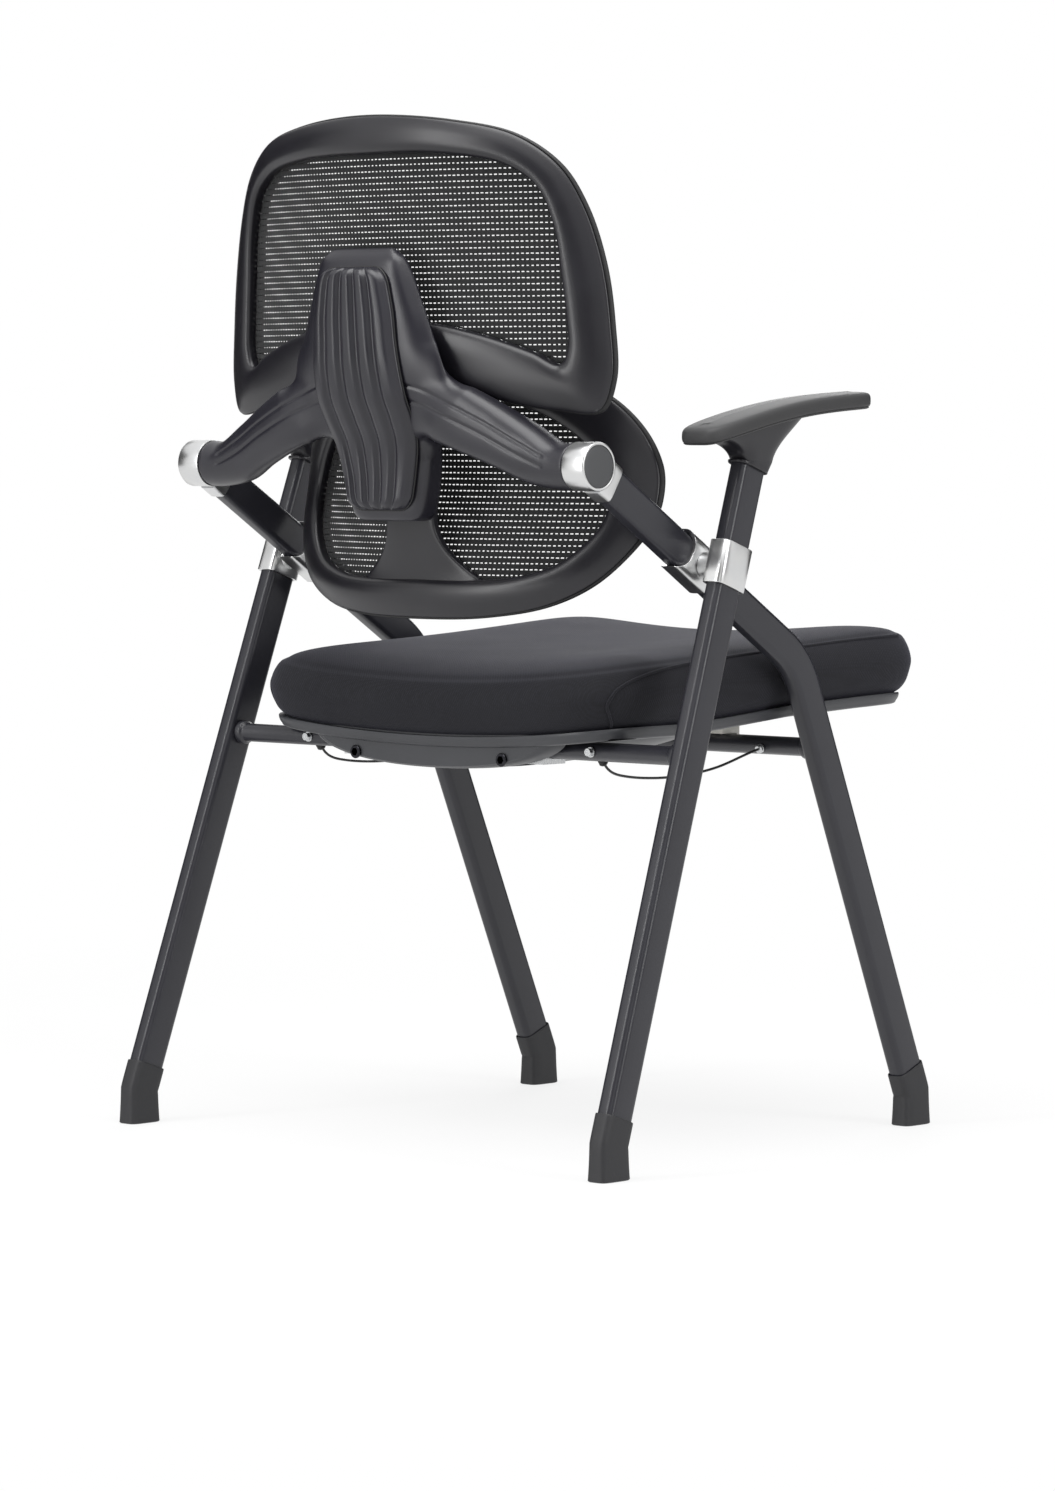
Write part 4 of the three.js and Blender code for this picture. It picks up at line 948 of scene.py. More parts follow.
BACK_OUTER = [
    (0, 1), (0.4, 0.975), (0.65, 0.925), (0.81, 0.825), (0.9, 0.69), (0.965, 0.5), (0.995, 0.3),
    (1, 0.12), (0.95, 0.015), (0.8, 0.018), (0.55, 0.055), (0.28, 0.14), (0, 0.17),
]
BACK_INNER = [
    (0, 0.875), (0.38, 0.865), (0.62, 0.825), (0.74, 0.75), (0.795, 0.63), (0.82, 0.47), (0.835, 0.34),
    (0.84, 0.23), (0.81, 0.172), (0.7, 0.212), (0.5, 0.268), (0.28, 0.308), (0, 0.325),
]
LUMBAR_OUTER = [
    (0, 1), (0.35, 0.985), (0.61, 0.945), (0.785, 0.865), (0.9, 0.75), (0.963, 0.62), (0.978, 0.5),
    (0.963, 0.38), (0.9, 0.26), (0.785, 0.14), (0.61, 0.055), (0.35, 0.01), (0, 0),
]
LUMBAR_INNER = [
    (0, 0.87), (0.3, 0.86), (0.52, 0.8), (0.66, 0.72), (0.75, 0.63), (0.8, 0.54), (0.81, 0.46),
    (0.79, 0.37), (0.735, 0.29), (0.64, 0.215), (0.47, 0.165), (0.27, 0.15), (0, 0.15),
]
OUTLINE_STEPS = 288


def outline(shares, half_width, heights):
    half = [(x * half_width, 0, mix(*heights, z)) for x, z in shares]
    other = [(-x, y, z) for x, y, z in reversed(half[1:-1])]
    return [Vector(point) for point in smooth_line([*half, *other], OUTLINE_STEPS, closed=True)]


def back_rear_y(x, z):
    rail_z = mix(*BACK_Z, BACK_OUTER[-1][1])
    part = min(1.0, max(0.0, (z - rail_z) / (BACK_Z[1] - rail_z)))
    middle = mix(*BACK_MIDDLE_Y, part)
    return BACK_SIDE_Y + (middle - BACK_SIDE_Y) * (1 - (x / BACK_HALF_WIDTH) ** 2)


def lumbar_rear_y(x, z):
    height = LUMBAR_Z[1] - LUMBAR_Z[0]
    lean = smoothstep(LUMBAR_Z[0] + height * 0.1, LUMBAR_Z[0] + height * 0.6, z)
    return mix(*LUMBAR_MIDDLE_Y, lean) - LUMBAR_BOW * (x / LUMBAR_HALF_WIDTH) ** 2


FRAMES = {}
for name, outer, inner, half_width, heights, rear_y in (
    ("upper", BACK_OUTER, BACK_INNER, BACK_HALF_WIDTH, BACK_Z, back_rear_y),
    ("lower", LUMBAR_OUTER, LUMBAR_INNER, LUMBAR_HALF_WIDTH, LUMBAR_Z, lumbar_rear_y),
):
    outlines = [outline(shares, half_width, heights) for shares in (outer, inner)]
    FRAMES[name] = (*outlines, rear_y, heights)
    print(name, "frame: outlines of", len(outlines[0]), "points")


# %% Rings of the two frames
FRAME_EDGE = 0.2  # depth of the outer edge as a share of the full depth
FRAME_ROLL = 6  # how far the rear face falls forward towards the outer edge
FRAME_FULL = 0.45  # share of the width at which the full depth is reached
FRAME_POWER = 2.7


def from_edge(point, out, inn):
    """0 at the outer edge of a frame and 1 at its inner edge."""
    across = inn - out
    return (Vector((point.x, 0, point.z)) - out).dot(across) / across.length_squared


def frame_depth(point, out, inn, share):
    """Depth in front of the frame's rear line at a share of its local thickness."""
    part = from_edge(point, out, inn)
    thick = FRAME_THICK * mix(FRAME_EDGE, 1, smoothstep(0, FRAME_FULL, part))
    return FRAME_ROLL * max(0.0, 1 - part) ** 2.5 + thick * share


def frame_ring(outer, inner, rear_y):
    rings = []
    for out, inn in zip(outer, inner):
        ring = []
        for p in oval(out.lerp(inn, 0.5), (out - inn) / 2, Y_AXIS * (FRAME_THICK / 2), FRAME_POWER, 36):
            depth = frame_depth(p, out, inn, 0.5 - p.y / FRAME_THICK)
            ring.append(Vector((p.x, rear_y(p.x, p.z) - depth, p.z)))
        rings.append(ring)
    return skin(rings, endless=True)


# %% [markdown]
# The lower ring carries a plate in its middle, which runs up behind the mesh to meet the yoke.
# It widens where it grows out of the lower rail, so the two read as one moulding.

# %% Lumbar plate and the finished frames
COLUMN_FRONT_Y = 196.5
PLATE_Z = (528, 662)
PLATE_FOOT_Z = 541
PLATE_WAIST_Z = 598
PLATE_BEND_LENGTH = 60
PLATE_HALF = (76, 31)  # foot and waist
PLATE_THICK = 11
PLATE_DIP = 9
PLATE_POWER = 6
PLATE_STEPS = 48


def lumbar_plate():
    """Its foot bends forwards and widens, so that it runs out inside the lower rail."""
    rings = []
    for i in range(PLATE_STEPS + 1):
        z = mix(*PLATE_Z, i / PLATE_STEPS)
        up = smoothstep(PLATE_FOOT_Z, PLATE_FOOT_Z + PLATE_BEND_LENGTH, z)
        foot = min(1.0, max(0.0, (PLATE_WAIST_Z - z) / (PLATE_WAIST_Z - PLATE_FOOT_Z)))
        half = PLATE_HALF[1] + (PLATE_HALF[0] - PLATE_HALF[1]) * foot**2.2
        middle = Vector((0, COLUMN_FRONT_Y - FIT - PLATE_THICK / 2, z))
        ring = []
        for p in oval(middle, X_AXIS * half, Y_AXIS * (PLATE_THICK / 2), PLATE_POWER, 96):
            dip = PLATE_DIP + LUMBAR_BOW * (p.x / LUMBAR_HALF_WIDTH) ** 2
            ring.append(Vector((p.x, p.y - (1 - up) * dip, p.z)))
        rings.append(ring)
    return skin(rings)


upper_ring, lower_ring = (frame_ring(*FRAMES[name][:3]) for name in ("upper", "lower"))
add_piece("upper_frame_ring", upper_ring, "backrest", nylon_finish, ["upper_back_frame"])
add_piece(
    "lower_frame_ring", together(lower_ring, lumbar_plate()), "backrest", nylon_finish,
    ["lower_back_frame"],
)

# %% [markdown]
# A thin rubber trim runs round the front of each frame. From behind it shows as a dark line
# outside the frame's edge. It is a small rounded section carried round the same loop, and it
# follows the frame's front face, which lies nearer the sitter where the frame is thick.

# %% Front trims
TRIM_THICK = 5.5
TRIM_POWER = 5
TRIM_PROUD = 2  # how far it stands out round the frame's outline
TRIM_LAP = 1.2  # how far the trim reaches over the rounded front edge of its frame


def grown(points, middle_z, amount):
    middle = Vector((0, 0, middle_z))
    return [point + (point - middle).normalized() * amount for point in points]


def trim_ring(outer, inner, rear_y, heights):
    outside = grown(outer, sum(heights) / 2, TRIM_PROUD)
    front = TRIM_THICK / 2 - TRIM_LAP
    rings = []
    for out, inn in zip(outside, inner):
        ring = []
        for p in oval(out.lerp(inn, 0.5), (out - inn) / 2, Y_AXIS * (TRIM_THICK / 2), TRIM_POWER, 28):
            y = p.y + rear_y(p.x, p.z) - front - frame_depth(p, out, inn, 1)
            ring.append(Vector((p.x, y, p.z)))
        rings.append(ring)
    return skin(rings, endless=True)


for name, lines in FRAMES.items():
    band = f"{name}_front_trim_band"
    add_piece(band, trim_ring(*lines), "backrest", black_rubber_and_gap_shade_finish, [f"{name}_front_trim"])

# %% [markdown]
# ## Back mesh
# The mesh is knitted in bands with a row of small openings between them, and the openings show as
# dotted lines of light. They are real holes here, so that light, shadow and the view through them
# are right from every side. The sheet is a grid of cells in which each opening is left out. The
# bands swell a little between two rows, as yarn does. Its rim lies in a groove of the frame.

# %% Mesh panels
ROW_PITCH = 5.6
ROW_OPEN = 1.05
SLOT_PITCH = 4.8
SLOT_OPEN = 3.1
YARN_STRAY = 0.28  # how far a crossing of yarns strays from its place
YARN_SWELL = 0.2
MESH_THICK = 0.75
MESH_TUCK = 9
MESH_DEPTH = 14.5  # from the rear of the frame, in the groove of its inner edge
NET_SHARES = {"upper": (0.165, 0.888), "lower": (0.135, 0.885)}


def half_width_at(points, z):
    widest = 0.0
    for here, there in zip(points, points[1:] + points[:1]):
        if (here.z - z) * (there.z - z) <= 0 and here.z != there.z:
            widest = max(widest, abs(mix(here.x, there.x, (z - here.z) / (there.z - here.z))))
    return widest


def net_panel(inner, rear_y, heights, shares):
    window = grown(inner, sum(heights) / 2, MESH_TUCK)
    low, high = (mix(*heights, part) for part in shares)
    rows = int((high - low) / ROW_PITCH)
    levels = [low]
    for row in range(rows):
        start = low + (row + 0.5) * (high - low) / rows
        levels += [start - ROW_OPEN / 2, start + ROW_OPEN / 2, start + (high - low) / rows / 2]
    columns = []
    reach = int(max(p.x for p in window) / SLOT_PITCH) + 1
    for column in range(-reach, reach + 1):
        columns += [column * SLOT_PITCH - SLOT_OPEN / 2, column * SLOT_PITCH + SLOT_OPEN / 2]
    halves = [half_width_at(window, z) for z in levels]

    def inside(i, j):
        if not (0 <= i < len(levels) - 1 and 0 <= j < len(columns) - 1):
            return False
        if max(abs(columns[j]), abs(columns[j + 1])) > min(halves[i], halves[i + 1]):
            return False
        return not (i % 3 == 1 and j % 2 == 0)

    points, numbers, faces = [], {}, []

    def number(i, j, side):
        if (i, j, side) not in numbers:
            x, z = columns[j], levels[i]
            swell = YARN_SWELL if i % 3 == 0 else 0
            rear = rear_y(x, z) - MESH_DEPTH + swell
            y = rear if side else rear - MESH_THICK - 2 * swell
            numbers[(i, j, side)] = len(points)
            stray = math.sin(i * 12.99 + j * 78.23) * YARN_STRAY
            points.append(Vector((x + stray, y, z + 0.4 * math.sin(i * 39.3 + j * 11.1) * YARN_STRAY)))
        return numbers[(i, j, side)]

    for i in range(len(levels) - 1):
        for j in range(len(columns) - 1):
            if not inside(i, j):
                continue
            corner = [(i, j), (i, j + 1), (i + 1, j + 1), (i + 1, j)]
            faces.append(tuple(number(a, b, 1) for a, b in corner))
            faces.append(tuple(number(a, b, 0) for a, b in reversed(corner)))
            for k, (a, b) in enumerate(((i - 1, j), (i, j + 1), (i + 1, j), (i, j - 1))):
                if not inside(a, b):
                    one, two = corner[k], corner[(k + 1) % 4]
                    faces.append((number(*one, 1), number(*one, 0), number(*two, 0), number(*two, 1)))
    flat = sum(
        (levels[i + 1] - levels[i]) * 2 * min(halves[i], halves[i + 1]) for i in range(len(levels) - 1)
    )
    size = (2 * max(halves) * MM, (high - low) * MM)
    return (points, faces), size, flat * MM * MM


for name, (outer, inner, rear_y, heights) in FRAMES.items():
    shape, size, area = net_panel(inner, rear_y, heights, NET_SHARES[name])
    panel = f"{name}_mesh_panel"
    net = add_piece(panel, shape, "backrest", yarn_finish, [f"{name}_mesh"], sharp=70)
    print(net.name, "flat size, mm:", [round(value / MM) for value in size])

# %% [markdown]
# ## Yoke
# The yoke is the big moulding behind the back: a column with a ribbed cover, and an arm to each
# hub. The column is a stack of rounded sections whose front, rear and width come from a short
# table. The arms are sections too, tall where they leave the column and round at the hub. Two fine
# grooves run along the rear of each arm.

# %% Column of the yoke
COLUMN_Z = (596, 852)
COLUMN_REAR_Y = 265
COLUMN_HALF = 63
COLUMN_POWER = 4
COLUMN_STEPS = 90
COLUMN_END_INSET = 5
FLARE_SCALE = 100  # brings the flare to the size of the other columns, for an even curve
COLUMN_SHARES = [  # height, front, rear, half width, and how much wider the front is
    (0, 0.066, 0.46, 0.571, 0), (0.016, 0.015, 0.5, 0.683, 0), (0.0625, 0, 0.53, 0.762, 0),
    (0.172, 0, 0.54, 0.857, 0), (0.281, 0.095, 0.6, 0.962, 0), (0.375, 0.314, 0.76, 1.03, 0.3),
    (0.469, 0.562, 0.92, 1.03, 0.75), (0.57, 0.688, 1, 1, 0.85), (0.66, 0.695, 1.03, 0.96, 0.62),
    (0.758, 0.702, 1.05, 0.93, 0.45),
    (0.922, 0.737, 1.05, 0.785, 0.29), (0.968, 0.77, 1, 0.73, 0.19), (1, 0.83, 0.9, 0.6, 0.1),
]


def column_table():
    stations = [
        (
            mix(*COLUMN_Z, height),
            mix(COLUMN_FRONT_Y, COLUMN_REAR_Y, front),
            mix(COLUMN_FRONT_Y, COLUMN_REAR_Y, rear),
            half * COLUMN_HALF,
            flare * FLARE_SCALE,
        )
        for height, front, rear, half, flare in COLUMN_SHARES
    ]
    return np.array(smooth_line(stations, 240))


column_rows = column_table()


def column_at(z):
    """Front, rear, half width and flare of the column at a height."""
    return [float(np.interp(z, column_rows[:, 0], column_rows[:, k])) for k in (1, 2, 3, 4)]


def column_ring(z, shrink=0.0):
    front, rear, half, flare = column_at(z)
    middle = Vector((0, (front + rear) / 2, z))
    depth = (rear - front) / 2 - shrink
    ring = oval(middle, X_AXIS * (half - shrink), Y_AXIS * depth, COLUMN_POWER, 128)
    share = flare / FLARE_SCALE
    return [Vector((p.x * (1 + share * (rear - p.y) / (rear - front)), p.y, p.z)) for p in ring]


def yoke_column():
    low, high = COLUMN_Z
    walls = [column_ring(mix(low, high, i / COLUMN_STEPS)) for i in range(COLUMN_STEPS + 1)]
    return skin([column_ring(low, COLUMN_END_INSET), *walls, column_ring(high, COLUMN_END_INSET)])


# %% Arms of the yoke
ARM_RADIUS = 22
ARM_ROUND_X = 222
ARM_ROOT = (243, 716)
ARM_ROOT_HALF = 36
ARM_POWERS = (2.4, 2)  # along the arm, and at its round end
ARM_SWELL = 5  # how much taller the arm grows at the root, and over which stretch of X
SWELL_X = (30, 92)
ARM_SHARES = [  # reach, place between hub and root in depth and height, half depth, half height
    (0.135, 0.7, 0.95, 0.545, 1), (0.28, 0.8, 0.92, 0.636, 1), (0.45, 0.9, 0.74, 0.68, 0.93),
    (0.676, 0.52, 0.44, 0.82, 0.85), (0.85, 0.129, 0.17, 0.955, 0.78),
]


def arm_rows():
    rows = [
        (
            reach * ARM_ROUND_X, mix(HUB.y, ARM_ROOT[0], offset), mix(HUB.z, ARM_ROOT[1], rise),
            depth * ARM_RADIUS, height * ARM_ROOT_HALF, ARM_POWERS[0],
        )
        for reach, offset, rise, depth, height in ARM_SHARES
    ]
    for x in (ARM_ROUND_X, HUB_INNER_X - RUN):
        rows.append((x, HUB.y, HUB.z, ARM_RADIUS, ARM_RADIUS, ARM_POWERS[1]))
    return smooth_line(rows, 96)


def yoke_arm():
    rings = []
    for x, y, z, depth, height, power in arm_table:
        swell = ARM_SWELL * max(0.0, 1 - (x - SWELL_X[0]) / (SWELL_X[1] - SWELL_X[0])) ** 2
        rings.append(oval(Vector((x, y, z)), Y_AXIS * depth, Z_AXIS * (height + swell), power, 160))
    x, y, z, depth, height, power = arm_table[-1]
    for shrink in (0.5, 1.6):
        deep, high = Y_AXIS * (depth - shrink), Z_AXIS * (height - shrink)
        rings.append(oval(Vector((x, y, z)), deep, high, power, 160))
    return skin(rings)


arm_table = arm_rows()
print("arm sections:", len(arm_table))

# %% [markdown]
# In the mould, the arms and the column are one form, with a soft fillet where they meet. A voxel
# remesh turns the three crossing bodies into one skin. Then each point moves a little towards the
# middle of its neighbours, many times over near the joint and a few times elsewhere, which fills
# the sharp valley as a fillet would. The two grooves are pressed into that skin at the end.


# %% One skin with fillets and grooves
YOKE_VOXEL = 1.25
FILLET_REACH = 24
FILLET_ROUNDS = 260
GROOVES = (0.33, -0.07)  # heights on the arm, as shares of its half height
GROOVE_DEPTH = 1.3
GROOVE_HALF = 1.5
GROOVE_X = (50, 218)
GROOVE_FADES = (6, 4)  # lengths over which a groove fades at the column and at the hub
GROOVE_REAR = 6  # how far behind the arm's middle a groove has its full depth


def one_skin(parts, voxel):
    body = link_mesh("yoke_parts", together(*parts))
    join = body.modifiers.new("join", "REMESH")
    join.mode = "VOXEL"
    join.voxel_size = voxel * MM
    return after_modifiers(body)


def joint_nearness(points, parts):
    """1 where two parts meet, falling to 0 at the fillet's reach."""
    trees = [BVHTree.FromPolygons(*part) for part in parts]
    second = [sorted(tree.find_nearest(point)[3] for tree in trees)[1] for point in points]
    return np.array([1 - smoothstep(FILLET_REACH * 0.4, FILLET_REACH, reach) for reach in second])


def relaxed(places, faces, weights, rounds):
    """Draws each point towards the middle of its neighbours, as far as its weight lets it."""
    edges = {tuple(sorted(pair)) for face in faces for pair in zip(face, face[1:] + face[:1])}
    pairs = np.array(sorted(edges))
    here = np.concatenate([pairs[:, 0], pairs[:, 1]])
    there = np.concatenate([pairs[:, 1], pairs[:, 0]])
    count = np.bincount(here, minlength=len(places))
    for _ in range(rounds):
        for axis in range(3):
            mean = np.bincount(here, places[there, axis], len(places)) / count
            places[:, axis] += (mean - places[:, axis]) * weights * 0.5
    return places


def grooved(places):
    """Presses the two grooves into the rear of both arms."""
    table = np.array(arm_table)
    x = np.abs(places[:, 0])
    y, z, height = (np.interp(x, table[:, 0], table[:, k]) for k in (1, 2, 4))
    fade_in = np.clip((x - GROOVE_X[0]) / GROOVE_FADES[0], 0, 1)
    fade_out = np.clip((GROOVE_X[1] - x) / GROOVE_FADES[1], 0, 1)
    rear = np.clip((places[:, 1] - y) / GROOVE_REAR, 0, 1)
    press = np.zeros(len(places))
    for share in GROOVES:
        off = (places[:, 2] - z - share * height) / GROOVE_HALF
        press += np.exp(-off * off)
    places[:, 1] -= GROOVE_DEPTH * press * fade_in * fade_out * rear
    return places


def yoke_body():
    arm = yoke_arm()
    parts = [yoke_column(), arm, mirrored(arm)]
    points, faces = one_skin(parts, YOKE_VOXEL)
    places = np.array([list(point) for point in points])
    places = relaxed(places, faces, np.ones(len(places)), 4)
    places = relaxed(places, faces, joint_nearness(points, parts), FILLET_ROUNDS)
    return [Vector(place) for place in grooved(places)], faces


add_piece("yoke_body", yoke_body(), "backrest", yoke_finish, ["back_yoke"], sharp=60)

# %% [markdown]
# ### Ribbed cover
# The cover clips onto the column. Five soft flutes run down it and follow the S-bend of the
# column. Each station is a row of points across: a rounded crown with the flutes pressed into it,
# which fades to thin edges. A thin black cord round the cover is painted shade for the gap in the joint.

# %% Ribbed cover and the painted shade in its gap
COVER_Z = (606, 834)
COVER_MARGIN = 8
COVER_THICK = 13
FLUTES = 5
FLUTE_DEPTH = 4.2
COVER_COLUMNS = 140
# radius of the black cord that is painted shade in the gap round the cover
GAP_SHADE_RADIUS = 0.9
COVER_CORNER = 15  # how far a corner draws in, over which height at the top and at the foot
CORNER_HEIGHTS = (16, 14)
COVER_EDGE = 9  # the height over which the cover rises from its top and bottom edge
COVER_END = 12  # the height of the ends, where the stations lie closer together


def cover_half(z):
    half = column_at(z)[2] - COVER_MARGIN
    for part in ((COVER_Z[1] - z) / CORNER_HEIGHTS[0], (z - COVER_Z[0]) / CORNER_HEIGHTS[1]):
        if part < 1:
            half -= COVER_CORNER * (1 - math.sqrt(max(0.0, 1 - (1 - max(0.0, part)) ** 2)))
    return half


def cover_point(u, z):
    half = cover_half(z)
    rear = column_at(z)[1]
    crown = max(0.0, 1 - abs(u) ** 4) ** 0.5
    wave = 0.5 + 0.5 * math.cos(math.pi * FLUTES * (u + 1))
    flute = FLUTE_DEPTH * (wave**2.6) * min(1.0, crown * 1.3)
    to_end = min(COVER_Z[1] - z, z - COVER_Z[0])
    ease = min(1.0, to_end / COVER_EDGE)
    lift = math.sqrt(max(0.0, 1 - (1 - ease) ** 2))
    height = COVER_THICK * (0.12 + 0.88 * crown) * (0.2 + 0.8 * lift) - flute * lift
    return Vector((u * half, rear + FIT + height, z))


def cover_shape():
    even = [2 * i / COVER_COLUMNS - 1 for i in range(COVER_COLUMNS + 1)]
    across = [math.sin(math.pi / 2 * u) * 0.35 + u * 0.65 for u in even]
    length = COVER_Z[1] - COVER_Z[0] - 2 * COVER_END
    inner = [COVER_Z[0] + COVER_END + length * i / 90 for i in range(91)]
    ends = [COVER_END * (i / 10) ** 1.5 for i in range(10)]
    low, high = [COVER_Z[0] + end for end in ends], [COVER_Z[1] - end for end in reversed(ends)]
    rings = []
    for z in [*low, *inner, *high]:
        outside = [cover_point(u, z) for u in across]
        half, rear = cover_half(z), column_at(z)[1]
        rings.append([*outside, Vector((half, rear - 1, z)), Vector((-half, rear - 1, z))])
    return skin(rings)


# A thin black cord along the cover's edge: painted shade for the gap between cover and column, not a real
# seal.
def cover_gap_shade_cord():
    side = [mix(*COVER_Z, 0.5 - 0.5 * math.cos(math.pi * i / 80)) for i in range(81)]
    line = [Vector((cover_half(z) + 0.7, column_at(z)[1] + 0.2, z)) for z in side]
    line += [Vector((-p.x, p.y, p.z)) for p in reversed(line)]
    loop = evenly(line, 320)
    rings = []
    for i, point in enumerate(loop):
        way = (loop[(i + 1) % len(loop)] - loop[i - 1]).normalized()
        out = way.cross(Y_AXIS).normalized()
        rings.append(oval(point, out * GAP_SHADE_RADIUS, Y_AXIS * GAP_SHADE_RADIUS, 2, 8))
    return skin(rings, endless=True)


add_piece("yoke_cover_shell", cover_shape(), "backrest", yoke_finish, ["yoke_cover"], sharp=50)
# the black cord round the cover is painted shade for the gap in the joint
add_piece("yoke_cover_gap_shade_cord", cover_gap_shade_cord(), "backrest", black_rubber_and_gap_shade_finish)

# %% [markdown]
# ## Seat
# The cushion is foam under a tight woven cover. Its walls draw in at the foot and roll over a
# soft edge into a low crown. One profile from the foot to the middle of the top is carried round a
# rounded-square outline. The foam isn't simulated: a tight cover on moulded foam keeps its mould's
# shape, and low hollows and swells are added in code.

# %% Seat outline
SEAT_HALF_WIDTH = 235
SEAT_Y = (180.8, -302.83)  # rear and front
SEAT_BASE_Z = 398
SEAT_RISE = 17
SEAT_SIDE_LIFT = 15
SEAT_POWER = 9.5
SEAT_SAG = [  # place in Y, and how far the seat's foot hangs there
    (-303, 3), (-200, 3), (-100, 4), (-50, 6.5), (0, 9), (60, 10.5), (110, 9), (181, 7),
]
CUSHION_WALL = (45, 56)  # rear and front
CUSHION_DRAW_IN = 13
CUSHION_CROWN = 15
SEAT_MIDDLE = Vector((0, sum(SEAT_Y) / 2, 0))


def seat_part(y):
    return (SEAT_Y[0] - y) / (SEAT_Y[0] - SEAT_Y[1])


def seat_base(x, y):
    return SEAT_BASE_Z + SEAT_RISE * seat_part(y) + SEAT_SIDE_LIFT * (x / SEAT_HALF_WIDTH) ** 2


def seat_sag(y):
    """How far the foot of the cushion and the rim of the pan hang below their straight line."""
    return float(np.interp(y, *zip(*SEAT_SAG)))


def seat_outline(inset, count=240):
    depth = (SEAT_Y[0] - SEAT_Y[1]) / 2
    ring = oval(SEAT_MIDDLE, X_AXIS * SEAT_HALF_WIDTH, Y_AXIS * depth, SEAT_POWER, 3840)
    moved = []
    for point in evenly(ring, count):
        inwards = SEAT_MIDDLE - point
        moved.append(point + inwards.normalized() * min(inset, inwards.length))
    return moved


# %% Cushion
WALL_SHARES = [  # inset as a share of the draw-in, height as a share of the wall
    (1.15, 0), (0.7, 0.06), (0.28, 0.17), (0, 0.33), (-0.14, 0.48), (-0.02, 0.65), (0.26, 0.82),
    (0.6, 0.945), (0.95, 1),
]
CROWN_SHARES = [(0.09, 0.3), (0.16, 0.6), (0.28, 0.87), (0.5, 1), (0.9, 1)]  # inset, rise
UNDERSIDE_INSETS = (160, 60, 20)
TYPICAL_WALL = 50
SAG_FADE = 0.6  # share of the wall's height at which the sag has faded


def cushion_point(point, height, crown):
    wall = mix(*CUSHION_WALL, seat_part(point.y))
    sag = seat_sag(point.y) * (1 - smoothstep(0, SAG_FADE, height))
    z = seat_base(point.x, point.y) + height * wall + crown * CUSHION_CROWN - sag
    return Vector((point.x, point.y, z))


def cushion_profile():
    """Rows of inset in millimetres, share of the wall and share of the crown."""
    rows = [(inset * CUSHION_DRAW_IN, height, 0) for inset, height in WALL_SHARES]
    rows += [(inset * SEAT_HALF_WIDTH, 1, crown) for inset, crown in CROWN_SHARES]
    wide = [(inset, height * TYPICAL_WALL, crown * CUSHION_CROWN) for inset, height, crown in rows]
    return [
        (inset, min(1.0, height / TYPICAL_WALL), crown / CUSHION_CROWN)
        for inset, height, crown in smooth_line(wide, 64)
    ]


def cushion_shape():
    rings = [[cushion_point(p, 0, 0) for p in seat_outline(inset)] for inset in UNDERSIDE_INSETS]
    for inset, height, crown in cushion_profile():
        rings.append([cushion_point(p, height, crown) for p in seat_outline(inset)])
    return skin(rings)


cushion = add_piece(
    "seat_cushion_cover", cushion_shape(), "seat", fabric_finish, ["seat_cushion"], sharp=70
)

# %% [markdown]
# ### Piping
# The top and rear of the cover are one panel, and each side is another. A thin corded seam joins
# them: it climbs the side close to the rear corner, turns forward and runs along the top edge of
# the side. It is a fine tube laid on the cover's surface.

# %% Side seams
SEAM_RADIUS = 1.5
SEAM_LIFT = 0.5  # the middle of the cord above the cover
SEAM_STOPS = [  # place along the side in Y, share of the wall's height
    (148, 0.03), (156, 0.22), (160, 0.37), (156, 0.53), (144, 0.69), (120, 0.82), (80, 0.92),
    (-8, 0.975), (-72, 0.985), (-136, 0.985), (-180, 0.985), (-220, 0.975), (-262, 0.955),
]


def side_x(y, inset):
    ring = [p for p in seat_outline(inset, 384) if p.x > 0]
    ring.sort(key=lambda p: p.y)
    return float(np.interp(y, [p.y for p in ring], [p.x for p in ring]))


def seam_shape():
    profile = [(height, inset) for inset, height, crown in cushion_profile() if crown < 0.02]
    profile.sort()
    heights, insets = [row[0] for row in profile], [row[1] for row in profile]
    line = []
    for y, height in smooth_line(SEAM_STOPS, 120):
        inset = float(np.interp(height, heights, insets))
        flat = Vector((side_x(y, inset) + SEAM_LIFT, y, 0))
        line.append(cushion_point(flat, height, 0))
    return tube(line, SEAM_RADIUS, 10)


add_pair("seat_piping", seam_shape(), "seat", fabric_finish)

# %% [markdown]
# ### Seat pan
# Under the cushion sits a moulded pan. Its rim follows the cushion's outline, and its belly hides
# the cross bars. The rim is a profile carried round the outline, with a thin raised bead along its
# lower edge. The belly is a row of rounded sections from rear to front. A slot is cut through both
# for the rear bar, on which the seat turns.

# %% Seat pan
RIM_INSET = 6
RIM_FRONT_INSET = 8
RIM_FRONT_Y = -215  # where the front of the rim starts to draw in
RIM_THICK = 11
RIM_FLAT = [(175, 0), (105, 0)]  # inset and depth, under the cushion
RIM_BEAD = [  # the same from the rim's outer edge
    (1.1, 0), (0.3, 0.3), (0, 1), (0, 2.6), (0.6, 4.6), (1.8, 6.6), (3, 8), (3.4, 9), (4.2, 9.9),
    (5.4, 10.5), (8, 10.9), (11, 11),
]
BELLY_Y = (168.8, -205.2)
BELLY_HALF = 170
BELLY_LOW_Z = (359, 404)
BELLY_SHARES = [  # length, half width and underside, rear to front
    (0, 0.88, 0.06), (0.019, 0.95, 0.01), (0.102, 1, 0), (0.268, 1, 0.043), (0.434, 1, 0.149),
    (0.572, 0.97, 0.362), (0.649, 0.93, 0.617), (0.715, 0.88, 0.809), (0.876, 0.81, 0.894),
    (1, 0.635, 1),
]
BELLY_POWER = 2.2
CHANNEL_HALF = 16
CHANNEL_HEAD = 4.8  # leaves room for the rope nuts when the seat flips up
CUTTER_REACH = 300  # half length of the block that cuts the slot, and half its height
CUTTER_HALF = 60


